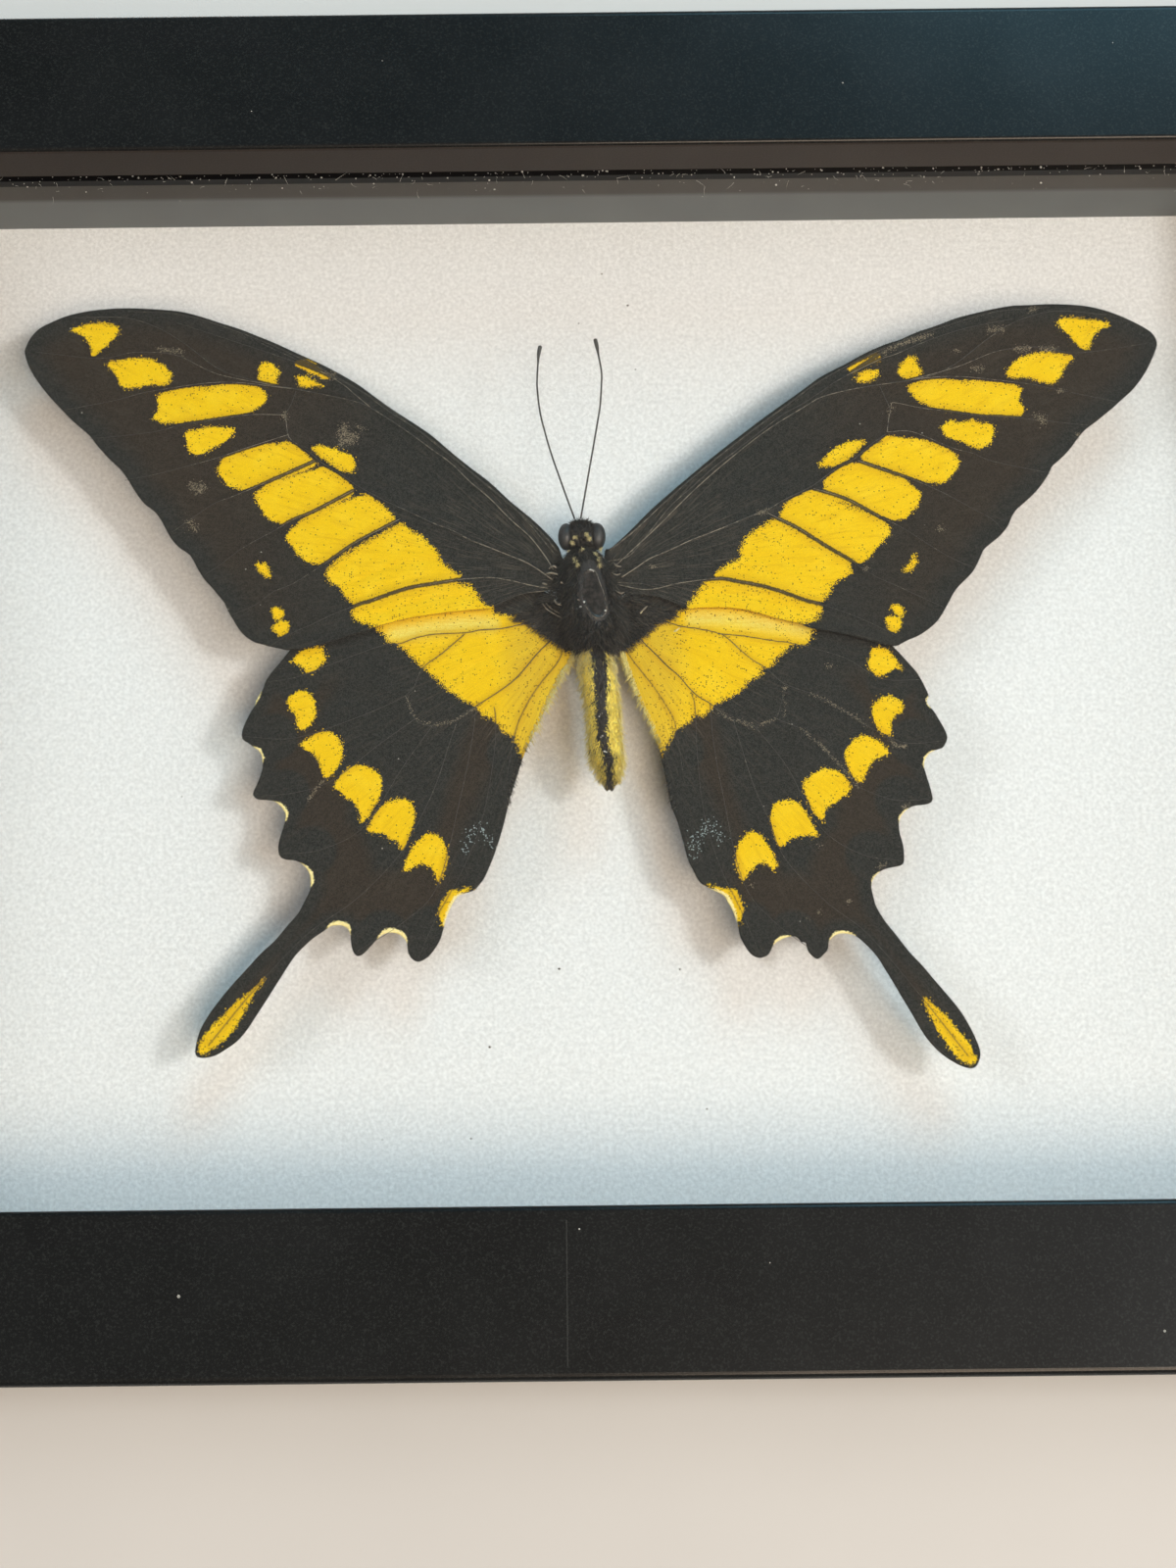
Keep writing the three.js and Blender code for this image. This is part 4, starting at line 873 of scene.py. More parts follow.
# %% Hindwing spots
HINDWING_SPOTS = {
    "left": [
        (1.1, "-25.0 7.5, -24.0 6.1, -23.4 5.5, -22.9 4.9, -22.8 4.4, -21.6 4.2, -21.4 3.9, -20.6 3.4,"
              "-20.0 2.8, -19.4 2.0, -18.8 1.3, -18.3 1.0, -17.2 0.0, -16.0 -1.1, -14.9 -2.0, -13.8 -2.7,"
              "-12.6 -3.4, -11.9 -4.3, -10.9 -4.7, -10.4 -5.2, -9.2 -6.6, -8.3 -6.8, -8.1 -7.7, -7.6 -8.9,"
              "-7.2 -9.5, -6.7 -9.7, -5.0 -7.0, -3.0 -2.5, -1.2 1.2, -0.9 2.8, -2.2 2.9, -2.6 3.4,"
              "-4.0 4.4, -5.1 5.1, -5.8 5.9, -6.7 6.6, -8.1 7.2, -10.4 7.7, -12.0 9.5, -20.0 9.0"),
        (0.4, "-33.7 2.2, -33.3 2.9, -32.5 3.5, -31.4 3.8, -30.3 3.9, -30.1 3.2, -29.9 2.6, -30.3 1.8,"
              "-31.0 1.2, -32.0 0.8, -32.3 1.4, -33.0 1.9"),
        (0.3, "-34.2 -2.6, -33.8 -1.9, -33.0 -1.4, -32.0 -1.4, -31.2 -2.2, -30.9 -3.4, -31.0 -4.4,"
              "-31.6 -5.4, -32.4 -5.9, -32.9 -5.4, -33.0 -4.6, -33.3 -3.8, -33.8 -3.4"),
        (0.3, "-32.5 -7.7, -32.1 -7.2, -30.9 -6.4, -29.8 -6.1, -28.8 -6.4, -28.0 -7.4, -27.8 -8.5,"
              "-28.1 -9.9, -28.8 -11.0, -29.6 -11.6, -30.0 -11.0, -30.3 -9.9, -30.8 -9.0, -31.6 -8.4"),
        (0.2, "-28.6 -12.7, -28.2 -11.6, -27.1 -10.5, -25.7 -10.1, -24.2 -10.7, -23.4 -11.7, -23.4 -13.3,"
              "-24.1 -14.9, -25.0 -16.4, -25.6 -16.6, -25.7 -15.6, -26.6 -14.2, -27.4 -13.8, -28.0 -13.0"),
        (0.2, "-24.8 -17.6, -24.1 -16.0, -23.0 -14.7, -21.6 -14.1, -20.4 -14.2, -19.7 -15.1, -19.6 -16.7,"
              "-20.2 -18.5, -20.6 -19.7, -21.0 -20.0, -21.5 -18.9, -22.3 -18.7, -23.0 -18.0, -23.9 -17.9"),
        (0.2, "-20.6 -22.4, -20.4 -21.0, -19.6 -19.5, -18.4 -18.3, -17.3 -18.2, -16.2 -19.2, -15.8 -20.8,"
              "-16.1 -22.2, -16.8 -23.8, -17.1 -23.1, -17.5 -22.2, -18.4 -21.6, -19.4 -21.8"),
        (0.4, "-42.9 -42.5, -43.0 -41.6, -42.1 -40.1, -40.5 -38.4, -39.1 -36.9, -37.8 -36.0, -35.9 -34.1,"
              "-37.1 -35.9, -38.0 -37.6, -38.9 -39.2, -40.0 -40.8, -41.4 -41.9, -42.5 -42.6"),
        (0.3, "-16.8 -27.1, -16.4 -26.0, -15.8 -24.9, -15.3 -24.5, -14.6 -24.7, -14.0 -24.5, -13.2 -24.3,"
              "-13.8 -24.9, -14.6 -25.1, -15.1 -26.2, -15.7 -27.5, -16.2 -28.7"),
    ],
    "right": [
        (1.2, "26.5 7.0, 25.9 5.0, 25.7 4.3, 24.8 3.5, 23.6 3.6, 23.2 3.3, 22.3 2.5, 21.4 1.6, 20.7 0.8,"
              "20.1 0.9, 19.8 0.0, 18.9 -0.4, 17.9 -1.4, 16.8 -2.3, 15.7 -2.8, 14.7 -3.4, 13.9 -4.2,"
              "13.1 -4.7, 12.3 -4.7, 11.8 -5.2, 10.9 -5.9, 10.1 -6.4, 9.8 -6.9, 9.1 -7.9, 8.5 -9.0,"
              "8.0 -9.4, 6.4 -6.5, 4.9 -2.0, 3.8 1.5, 3.6 2.8, 4.1 3.0, 4.5 3.2, 5.4 3.9, 6.2 4.5, 7.0 5.2,"
              "8.0 6.1, 9.0 6.6, 10.0 7.0, 10.9 7.7, 11.6 7.8, 13.0 9.5, 20.0 9.0"),
        (0.4, "32.8 3.0, 34.1 3.0, 34.8 2.4, 35.4 1.6, 36.0 0.6, 35.2 0.6, 34.5 0.2, 33.6 -0.3, 32.7 0.0,"
              "32.2 0.9, 32.4 1.9"),
        (0.3, "32.4 -4.7, 32.6 -3.8, 33.2 -3.0, 34.2 -2.7, 35.2 -3.0, 35.9 -3.8, 35.7 -4.6, 34.9 -5.1,"
              "34.5 -6.0, 34.4 -7.1, 33.8 -7.2, 33.1 -6.7, 32.6 -5.6"),
        (0.3, "29.2 -9.0, 30.0 -8.1, 30.7 -7.4, 31.8 -7.4, 32.9 -7.9, 33.6 -8.5, 34.0 -9.3, 33.2 -9.8,"
              "32.2 -10.4, 31.7 -11.0, 31.2 -12.2, 30.8 -12.8, 30.1 -12.2, 29.5 -11.3, 29.2 -10.1"),
        (0.3, "24.3 -13.1, 24.8 -12.2, 25.9 -11.5, 27.0 -11.1, 28.2 -11.4, 29.1 -12.2, 29.7 -13.2,"
              "29.4 -13.9, 28.6 -14.4, 28.1 -15.0, 27.2 -15.4, 26.7 -15.9, 26.4 -17.1, 25.9 -16.8,"
              "25.2 -15.9, 24.7 -14.6"),
        (0.3, "20.6 -16.0, 21.1 -15.1, 22.3 -14.7, 23.4 -14.9, 24.1 -15.7, 24.8 -16.7, 25.3 -17.8,"
              "25.8 -18.7, 25.6 -18.9, 24.1 -18.8, 22.9 -19.1, 22.0 -19.7, 21.5 -20.1, 21.0 -19.5,"
              "20.7 -18.1, 20.5 -16.9"),
        (0.3, "16.5 -21.0, 16.8 -19.9, 17.5 -18.8, 18.4 -18.3, 19.2 -18.7, 19.9 -19.6, 20.6 -20.8,"
              "21.0 -21.9, 20.8 -22.6, 19.9 -22.1, 19.1 -21.9, 18.3 -22.4, 17.7 -23.2, 17.3 -24.0,"
              "16.8 -23.2, 16.5 -22.2"),
        (0.4, "36.7 -37.1, 37.4 -37.7, 38.4 -38.7, 39.4 -39.6, 40.4 -41.0, 41.4 -42.2, 42.0 -43.5,"
              "42.2 -44.3, 41.6 -44.7, 40.7 -44.2, 39.7 -43.3, 38.9 -42.0, 38.2 -40.8, 37.5 -39.4,"
              "37.0 -38.3"),
        (0.3, "13.2 -24.3, 15.0 -24.8, 16.1 -24.8, 16.7 -25.8, 17.2 -27.1, 16.9 -28.0, 16.6 -28.7,"
              "16.2 -27.8, 15.7 -26.6, 15.0 -25.5"),
    ],
}
# Cream crescents in the hollows of the edge: greatest width, then the line along the edge.
HINDWING_CREAM = {
    "left": [(0.35, "-37.0 -1.0, -37.5 -2.0, -37.9 -3.0"), (0.50, "-38.0 -7.7, -37.3 -8.2, -36.9 -9.0,"
                                                                  "-36.8 -9.9"),
             (0.60, "-35.6 -14.1, -34.7 -14.7, -34.1 -15.6, -34.1 -16.6"),
             (0.65, "-32.3 -21.3, -31.4 -22.3, -31.1 -23.3, -31.2 -24.3"),
             (0.75, "-29.3 -28.8, -28.7 -28.5, -27.7 -28.4, -27.0 -28.7, -26.6 -29.6"),
             (0.80, "-23.6 -30.0, -23.0 -29.5, -22.2 -29.3, -21.3 -29.5, -20.7 -29.9, -20.3 -30.7"),
             (0.45, "-13.4 -24.8, -14.7 -25.3, -15.4 -26.5, -16.0 -27.9, -16.3 -28.8")],
    "right": [(0.30, "38.9 -2.6, 38.7 -3.2, 39.0 -4.1"), (0.35, "39.5 -9.0, 38.5 -9.6, 38.0 -10.7,"
                                                                "38.2 -11.5"),
              (0.35, "36.2 -15.7, 35.2 -16.6, 34.9 -17.7"), (0.35, "33.0 -22.8, 31.8 -23.8, 31.6 -25.4"),
              (0.50, "29.6 -30.3, 28.6 -30.0, 27.6 -30.0, 26.9 -30.4, 26.5 -31.0"),
              (0.50, "22.9 -30.3, 21.7 -30.4, 20.9 -30.7, 20.3 -31.3"),
              (0.55, "13.2 -24.6, 14.9 -25.4, 15.9 -27.0, 16.5 -29.0")],
}

# %% Hindwing veins
HINDWING_VEINS = {
    "left": [
        (0.16, 0.08, "-4.4 7.3, -7.0 6.5, -9.5 5.9, -12.2 5.7, -13.8 5.4, -17.2 5.3, -19.5 4.9, -21.4 4.2,"
                     "-23.4 4.0, -29.0 1.9, -33.0 0.4, -36.4 -0.2"),
        (0.18, 0.07, "-3.4 5.6, -4.2 4.3, -5.5 3.0, -8.0 0.0, -10.0 -1.6, -12.6 -3.3, -15.0 -5.0,"
                     "-17.0 -5.4, -18.0 -5.6, -19.6 -4.8, -20.7 -2.0"),
        (0.12, 0.06, "-14.0 5.2, -16.5 3.0, -18.8 1.2, -20.7 -2.0, -28.0 -5.2, -33.5 -6.9, -39.0 -6.6"),
        (0.10, 0.06, "-19.6 -4.8, -24.0 -8.0, -28.8 -11.8, -33.0 -13.2, -37.5 -13.6"),
        (0.10, 0.06, "-17.6 -5.6, -21.0 -10.5, -25.2 -17.2, -30.0 -19.8, -34.4 -20.3"),
        (0.11, 0.06, "-14.9 -5.4, -15.6 -7.5, -17.0 -12.0, -18.5 -15.5, -21.2 -20.5, -26.0 -25.5,"
                     "-31.5 -29.5, -37.0 -35.4, -42.0 -41.6"),
        (0.10, 0.06, "-12.6 -3.3, -13.2 -8.0, -14.4 -14.0, -16.9 -24.0, -20.5 -28.0, -25.8 -31.4"),
        (0.08, 0.05, "-10.6 -3.4, -10.4 -5.2, -10.6 -9.0, -11.8 -16.0, -14.0 -22.0, -17.2 -28.0,"
                     "-19.0 -32.2"),
        (0.10, 0.05, "-2.8 2.8, -3.5 1.5, -5.5 -1.0, -7.0 -3.5, -8.2 -6.5, -9.2 -12.0"),
    ],
    "right": [
        (0.16, 0.08, "5.0 7.6, 9.0 6.5, 10.9 5.9, 12.7 5.6, 14.5 5.2, 15.5 4.9, 17.7 4.7, 19.5 4.4,"
                     "21.8 4.0, 23.6 3.7, 29.5 1.9, 33.5 -0.6, 38.0 -0.8"),
        (0.18, 0.07, "5.2 5.6, 6.2 4.4, 8.0 2.5, 9.3 1.1, 10.5 0.0, 11.6 -1.4, 12.7 -2.5, 14.0 -3.3,"
                     "15.0 -4.2, 16.1 -5.1, 17.5 -5.5, 19.1 -6.2, 19.5 -5.9, 21.4 -5.2, 22.4 -2.4"),
        (0.12, 0.06, "15.5 4.9, 16.4 4.2, 17.7 2.9, 19.1 1.7, 20.5 0.8, 22.4 -1.0, 25.3 -2.2, 27.0 -3.0,"
                     "28.3 -3.8, 30.4 -5.1, 31.8 -6.2, 36.0 -8.2, 40.4 -8.0"),
        (0.10, 0.06, "21.4 -5.2, 24.2 -6.4, 24.8 -6.9, 26.8 -8.8, 28.4 -10.6, 29.5 -12.0, 30.5 -13.3,"
                     "34.5 -14.8, 38.4 -14.8"),
        (0.10, 0.06, "19.1 -6.2, 22.5 -10.8, 26.0 -17.8, 30.5 -21.0, 34.8 -21.8"),
        (0.11, 0.06, "16.6 -5.3, 17.4 -8.4, 18.7 -13.0, 20.3 -17.0, 22.0 -21.5, 26.4 -26.4, 31.0 -30.2,"
                     "36.4 -37.0, 41.4 -43.8"),
        (0.10, 0.06, "14.0 -3.3, 14.3 -8.0, 15.2 -14.0, 17.2 -24.0, 20.6 -28.6, 25.2 -32.2"),
        (0.08, 0.05, "11.9 -2.0, 12.3 -4.0, 12.4 -9.0, 13.0 -16.0, 14.6 -22.0, 17.2 -28.0, 18.8 -32.2"),
        (0.10, 0.05, "4.5 3.1, 5.5 1.6, 6.6 0.1, 7.7 -1.4, 8.9 -3.4, 10.0 -5.8, 10.8 -12.0"),
    ],
}
HINDWING_FOLDS = {
    "left": ["-10.6 6.4, -14.0 6.6, -22.0 5.4", "-9.0 3.6, -13.5 1.2, -16.0 -0.4"],
    "right": ["12.0 6.8, 16.0 6.8, 25.0 5.4", "9.8 3.8, 14.0 1.4, 17.2 -1.0"],
}
HINDWING_RUBS = {
    "left": [(0.16, "-28.8 -10.5, -30.2 -12.2, -31.5 -14.0"), (0.13, "-11.6 -2.8, -12.6 -3.3, -15.0 -5.0,"
                                                                     "-17.0 -5.4"),
             (0.10, "-17.0 -5.4, -18.0 -5.3, -19.6 -4.6, -20.6 -2.2")],
    "right": [(0.12, "25.3 -2.2, 27.0 -3.0, 28.3 -3.8, 30.4 -5.1, 31.8 -6.2"),
              (0.12, "24.2 -6.4, 24.8 -6.9, 26.8 -8.8, 28.4 -10.6, 29.5 -12.0, 30.5 -13.3"),
              (0.14, "15.0 -4.2, 16.1 -5.1, 17.5 -5.5, 19.1 -6.2"), (0.13, "19.5 -5.9, 21.4 -5.2"),
              (0.09, "22.4 -2.4, 22.4 -4.9"), (0.2, "22.5 -1.6, 22.7 -1.6"), (0.2, "27.4 1.1, 28.0 0.9"),
              (0.2, "34.4 -7.8, 34.8 -8.5"), (0.2, "35.0 -8.6, 36.0 -8.6"), (0.3, "35.5 -15.8, 35.8 -15.6"),
              (0.3, "32.6 -22.5, 33.0 -22.3"), (0.15, "18.1 -24.4, 18.3 -24.4"), (0.15, "25.8 -19.9,"
                                                                                        "26.0 -19.9"),
              (0.15, "28.8 -26.4, 29.0 -26.4"), (0.15, "25.5 -27.5, 25.7 -27.5"), (0.15, "24.2 -28.2,"
                                                                                         "24.4 -28.2")],
}
# The pale blue dusting: width, then the strokes it is made of.
HINDWING_BLUE = {
    "left": [(0.42, "-13.8 -20.2, -13.5 -19.0, -13.0 -17.9, -12.4 -17.4"), (0.4, "-12.2 -17.5, -11.5 -18.4,"
                                                                                 "-10.9 -19.7")],
    "right": [(0.7, "11.8 -20.6, 12.0 -19.2, 12.8 -18.2, 13.6 -17.7"), (0.5, "13.4 -17.7, 14.2 -18.1,"
                                                                             "14.9 -19.2")],
}
spot_count = sum(len(side) for table in (FOREWING_SPOTS, HINDWING_SPOTS) for side in table.values())
print("spots drawn:", spot_count)

# %% [markdown]
# ## Cutting a wing out of a sheet
# A wing starts as a square lattice of points, a quarter of a millimetre apart, split into triangles. The
# depth inside the outline is known at each point, so the sheet can be cut like dough: triangles wholly
# inside stay, and one that straddles the edge is trimmed where the depth passes through zero. That keeps
# the edge as crisp as the line.

# %% Cutting a wing out of a sheet
STEP = 0.25


def cut_sheet(lattice, shape, depth):
    """Triangles of a lattice trimmed along depth = 0. A new corner divides its side as the depths do."""
    index = np.arange(len(lattice)).reshape(shape)
    a, b, c, d = (part.ravel() for part in (index[:-1, :-1], index[:-1, 1:], index[1:, 1:], index[1:, :-1]))
    triangles = np.concatenate([np.stack([a, b, c], 1), np.stack([a, c, d], 1)])
    within = depth > 0
    count = within[triangles].sum(1)

    def lone_first(some, flag):
        first = np.argmax(within[some] == flag, axis=1)
        return np.take_along_axis(some, (first[:, None] + np.arange(3)) % 3, axis=1)

    one, two = lone_first(triangles[count == 1], True), lone_first(triangles[count == 2], False)
    sides = np.concatenate([one[:, [0, 1]], one[:, [0, 2]], two[:, [0, 1]], two[:, [0, 2]]])
    cuts, which = np.unique(np.sort(sides, axis=1), axis=0, return_inverse=True)
    share = depth[cuts[:, 0]] / (depth[cuts[:, 0]] - depth[cuts[:, 1]])
    fresh = lattice[cuts[:, 0]] + share[:, None] * (lattice[cuts[:, 1]] - lattice[cuts[:, 0]])
    which = which.ravel() + len(lattice)
    parts = np.split(which, np.cumsum([len(one), len(one), len(two)]))
    faces = np.concatenate([
        triangles[count == 3], np.stack([one[:, 0], parts[0], parts[1]], 1),
        np.stack([two[:, 1], two[:, 2], parts[3]], 1), np.stack([two[:, 1], parts[3], parts[2]], 1)])
    used, faces = np.unique(faces, return_inverse=True)
    return np.concatenate([lattice, fresh])[used], faces.reshape(-1, 3)


# %% [markdown]
# ## What every corner of a wing knows
# The colours of a wing aren't painted on: each corner of the mesh carries measurements, and the material
# turns them into colour. One set holds how deep the corner is inside the nearest yellow spot, inside the
# nearest cream crescent, and how far it is from a vein. The other holds rubbing, dark peppering,
# brownness and the rest. Between corners Blender blends the numbers, so an edge is sharper than the mesh
# is fine.

# %% Measuring a wing


def deepest(where, loops):
    """Depth inside the nearest of several closed lines, and which one that is."""
    depth = np.stack([depth_inside(where, smooth(points(loop))) for loop in loops])
    nearest = depth.argmax(0)
    return depth[nearest, np.arange(len(where))], nearest


def strokes(where, lines):
    """How strongly soft brush strokes cover each point: the sum of exp(-(distance / width) squared)."""
    cover = np.zeros(len(where))
    for width, line in lines:
        distance, _ = line_distance(where, soft_line(line))
        cover += np.exp(-(distance / width) ** 2)
    return np.clip(cover, 0, 1)


def vein_measures(where, veins):
    """Distance to the nearest vein, and the height of the ridges: a vein lifts the skin by its own radius."""
    nearest, ridge = np.full(len(where), REACH), np.zeros(len(where))
    for root, tip, line in veins:
        distance, along = line_distance(where, soft_line(line))
        nearest = np.minimum(nearest, distance)
        ridge = np.maximum(ridge, (root + (tip - root) * along) * np.exp(-(distance / 0.28) ** 2))
    return nearest, ridge


def crescents(where, lines):
    """Depth inside cream crescents: a width that swells from nothing at both ends, less the distance."""
    depth = np.full(len(where), -REACH)
    for width, line in lines:
        distance, along = line_distance(where, soft_line(line))
        depth = np.maximum(depth, 0.75 * width * np.sin(np.pi * np.clip(along, 0.02, 0.98)) ** 0.6 - distance)
    return depth


def ease(value, low, high):
    """A soft step from 0 at low to 1 at high: 3t squared less 2t cubed."""
    t = np.clip((value - low) / (high - low), 0, 1)
    return t * t * (3 - 2 * t)


# %% [markdown]
# ## The finish of the wings
# Wing scales are tiny shingles, so the edge of a spot is ragged and black scales stray into the yellow.
# The material adds fine noise to the measured depths before it compares them with zero, which frays every
# edge at the size of a few scales. The stray scales are a cell pattern that keeps only a share of its
# cells, more near an edge. A few yellow scales are strewn just outside a spot in the same way, and rubbed
# places show bare brown skin.

# %% Wing material


def read_marks(tree, label):
    """The three measurements that a mesh attribute carries."""
    vector = node(tree, "Attribute", attribute_name=label, attribute_type="GEOMETRY").outputs["Vector"]
    return node(tree, "SeparateXYZ", {0: vector}).outputs


wing_scales, tree, shader, place = start_material("wing_scales", 0.72)
shader.inputs["Specular IOR Level"].default_value = 0.15
yellow_depth, cream_depth, vein_gap = read_marks(tree, "edges")
rubbed, peppered, browned = read_marks(tree, "wear")
tinted, blued, inked = read_marks(tree, "tints")

coarse = noise(tree, place, 0.45, 2.0)
fine = noise(tree, place, 0.14, 2.0)
fray = plus(tree, scaled(tree, coarse, 0.7, -0.35), scaled(tree, fine, 1.5, -0.75))
calm = scaled(tree, step(tree, vein_gap, 0.1, 0.45), 0.65, 0.35)
loose = times(tree, times(tree, fray, calm), scaled(tree, peppered, 0.75, 0.45))
beside_vein = times(tree, step(tree, vein_gap, 0.5, 0.2), step(tree, inked, 0.6, 0.9))
grown = scaled(tree, beside_vein, 0.18, yellow_depth)
whole_mask = step(tree, plus(tree, grown, loose), -0.04, 0.04)
weave = node(tree, "Attribute", attribute_name="weave", attribute_type="GEOMETRY").outputs["Vector"]
streak = noise(tree, weave, 0.42, 4.0, 0.7)
cream_mask = step(tree, plus(tree, cream_depth, times(tree, fray, 0.4)), 0.05, 0.15)

grains = use_group(tree, scales, place, Scale=8500.0)
patches = noise(tree, place, 2.6, 2.0)
stray_cells = cells(tree, place, 0.2)
stray_pick = picks(tree, stray_cells)
near_edge = times(tree, step(tree, yellow_depth, 0.9, 0.0), 0.22)
thick = times(tree, times(tree, peppered, step(tree, patches, 0.38, 0.75)), 0.22)
share = plus(tree, plus(tree, near_edge, thick), scaled(tree, tinted, 0.05, 0.03))
one_scale = below(tree, stray_cells.outputs["Distance"], 0.44)
stray_mask = times(tree, below(tree, stray_pick[0], share), one_scale)
just_outside = times(tree, step(tree, yellow_depth, -0.5, 0.0), 0.5)
strewn = times(tree, below(tree, stray_pick[1], just_outside), one_scale)
yellow_mask = maths(tree, "MAXIMUM", whole_mask, times(tree, strewn, 0.8))

soot = blend(tree, browned, paint(27, 26, 23), paint(39, 31, 23))
lighter = blend(tree, browned, paint(54, 53, 48), paint(58, 50, 40))
soot = blend(tree, step(tree, plus(tree, grains["Tone"], coarse), 0.6, 1.6), soot, lighter)
near_root = step(tree, node(tree, "SeparateXYZ", {0: weave}).outputs[1], 2.4 * MM, 0.9 * MM)
streaked = times(tree, step(tree, streak, 0.52, 0.72), scaled(tree, near_root, 0.5, 0.4))
soot = blend(tree, streaked, soot, blend(tree, near_root, paint(68, 62, 52), paint(100, 90, 77)))
specks = freckled(tree, place, 560.0, 0.13, 0.05)
soot = blend(tree, specks, soot, paint(150, 146, 136))
bare_pick = picks(tree, cells(tree, place, 0.09))[0]
worn = below(tree, bare_pick, times(tree, rubbed, 0.5))
soot = blend(tree, times(tree, worn, 0.8), soot, paint(134, 121, 101))
vein_half = scaled(tree, step(tree, inked, 0.6, 0.9), 0.035, 0.12)
frayed_gap = scaled(tree, fray, 0.1, vein_gap)
dark_vein = step(tree, maths(tree, "SUBTRACT", frayed_gap, vein_half), 0.03, -0.03)
blue_cells = cells(tree, place, 0.15)
blue_pick = picks(tree, blue_cells)[0]
blue_mask = times(tree, below(tree, blue_pick, times(tree, blued, 0.42)),
                  below(tree, blue_cells.outputs["Distance"], 0.45))
soot = blend(tree, blue_mask, soot, paint(158, 172, 172))

yellow = blend(tree, step(tree, tinted, 0.0, 1.0), paint(241, 198, 8), paint(221, 183, 42))
yellow = blend(tree, step(tree, tinted, 0.0, -1.0), yellow, paint(236, 216, 104))
golden = times(tree, step(tree, streak, 0.4, 0.62), step(tree, tinted, 0.1, 0.9))
# Layer on layer: where, how strongly and which colour. Single scales, pale patches, streaks, the golden
# streaks near the root, shade beside the veins, dark veins, and stray black scales on top.
YELLOW_LAYERS = (
    (step(tree, grains["Tone"], 0.2, 1.0), 0.5, (226, 178, 6)),
    (step(tree, patches, 0.45, 0.75), 0.35, (250, 216, 48)),
    (step(tree, streak, 0.5, 0.72), 0.55, (208, 156, 8)),
    (golden, 0.6, (200, 162, 44)),
    (step(tree, vein_gap, 0.8, 0.1), 0.42, (196, 146, 18)),
    (dark_vein, inked, (62, 52, 28)),
    (stray_mask, 0.8, (96, 74, 22)),
)
for mask, strength, colour in YELLOW_LAYERS:
    yellow = blend(tree, times(tree, mask, strength), yellow, paint(*colour))

cream = blend(tree, grains["Tone"], paint(252, 236, 176), paint(244, 222, 140))
coat = blend(tree, yellow_mask, soot, yellow)
coat = blend(tree, cream_mask, coat, cream)
surface(tree, shader, coat, plus(tree, grains["Height"], times(tree, streak, 1.5)), 0.04, 0.7)

# %% [markdown]
# ## Making the four wings
# The skin of a wing isn't flat. Veins stand up as ridges, the skin sags a little between them, and
# creases run through the wide yellow cells. All of that is a height added to each corner, less than half
# a millimetre, so the drawn lines stay true. A Solidify modifier then gives the sheet its thickness,
# downwards from the drawn face.

# %% Making the four wings
THICKNESS = 0.12
FOREWING_TOP, HINDWING_TOP = 15.6, 14.9
# The relief: a ridge as a share of its vein's radius, then in millimetres the sag and the creases.
RIDGE_SHARE, SAG, CREASE, CREASE_WIDTH = 0.6, 0.09, 0.1, 0.35
# The golden tint of the yellow field is full near the root and gone at its reach.
TINT_REACH, TINT_FADE = 9.0, 5.0
# The streaks run outwards, because the weave stretches the pattern that way.
WEAVE_ACROSS, WEAVE_OUT = 28, 0.1
# A brown lobe between two veins of the hindwing stops short of the vein's end.
LOBE_INSIDE, LOBE_RADIUS, LOBE_SOFT = 3.3, 2.6, 0.5


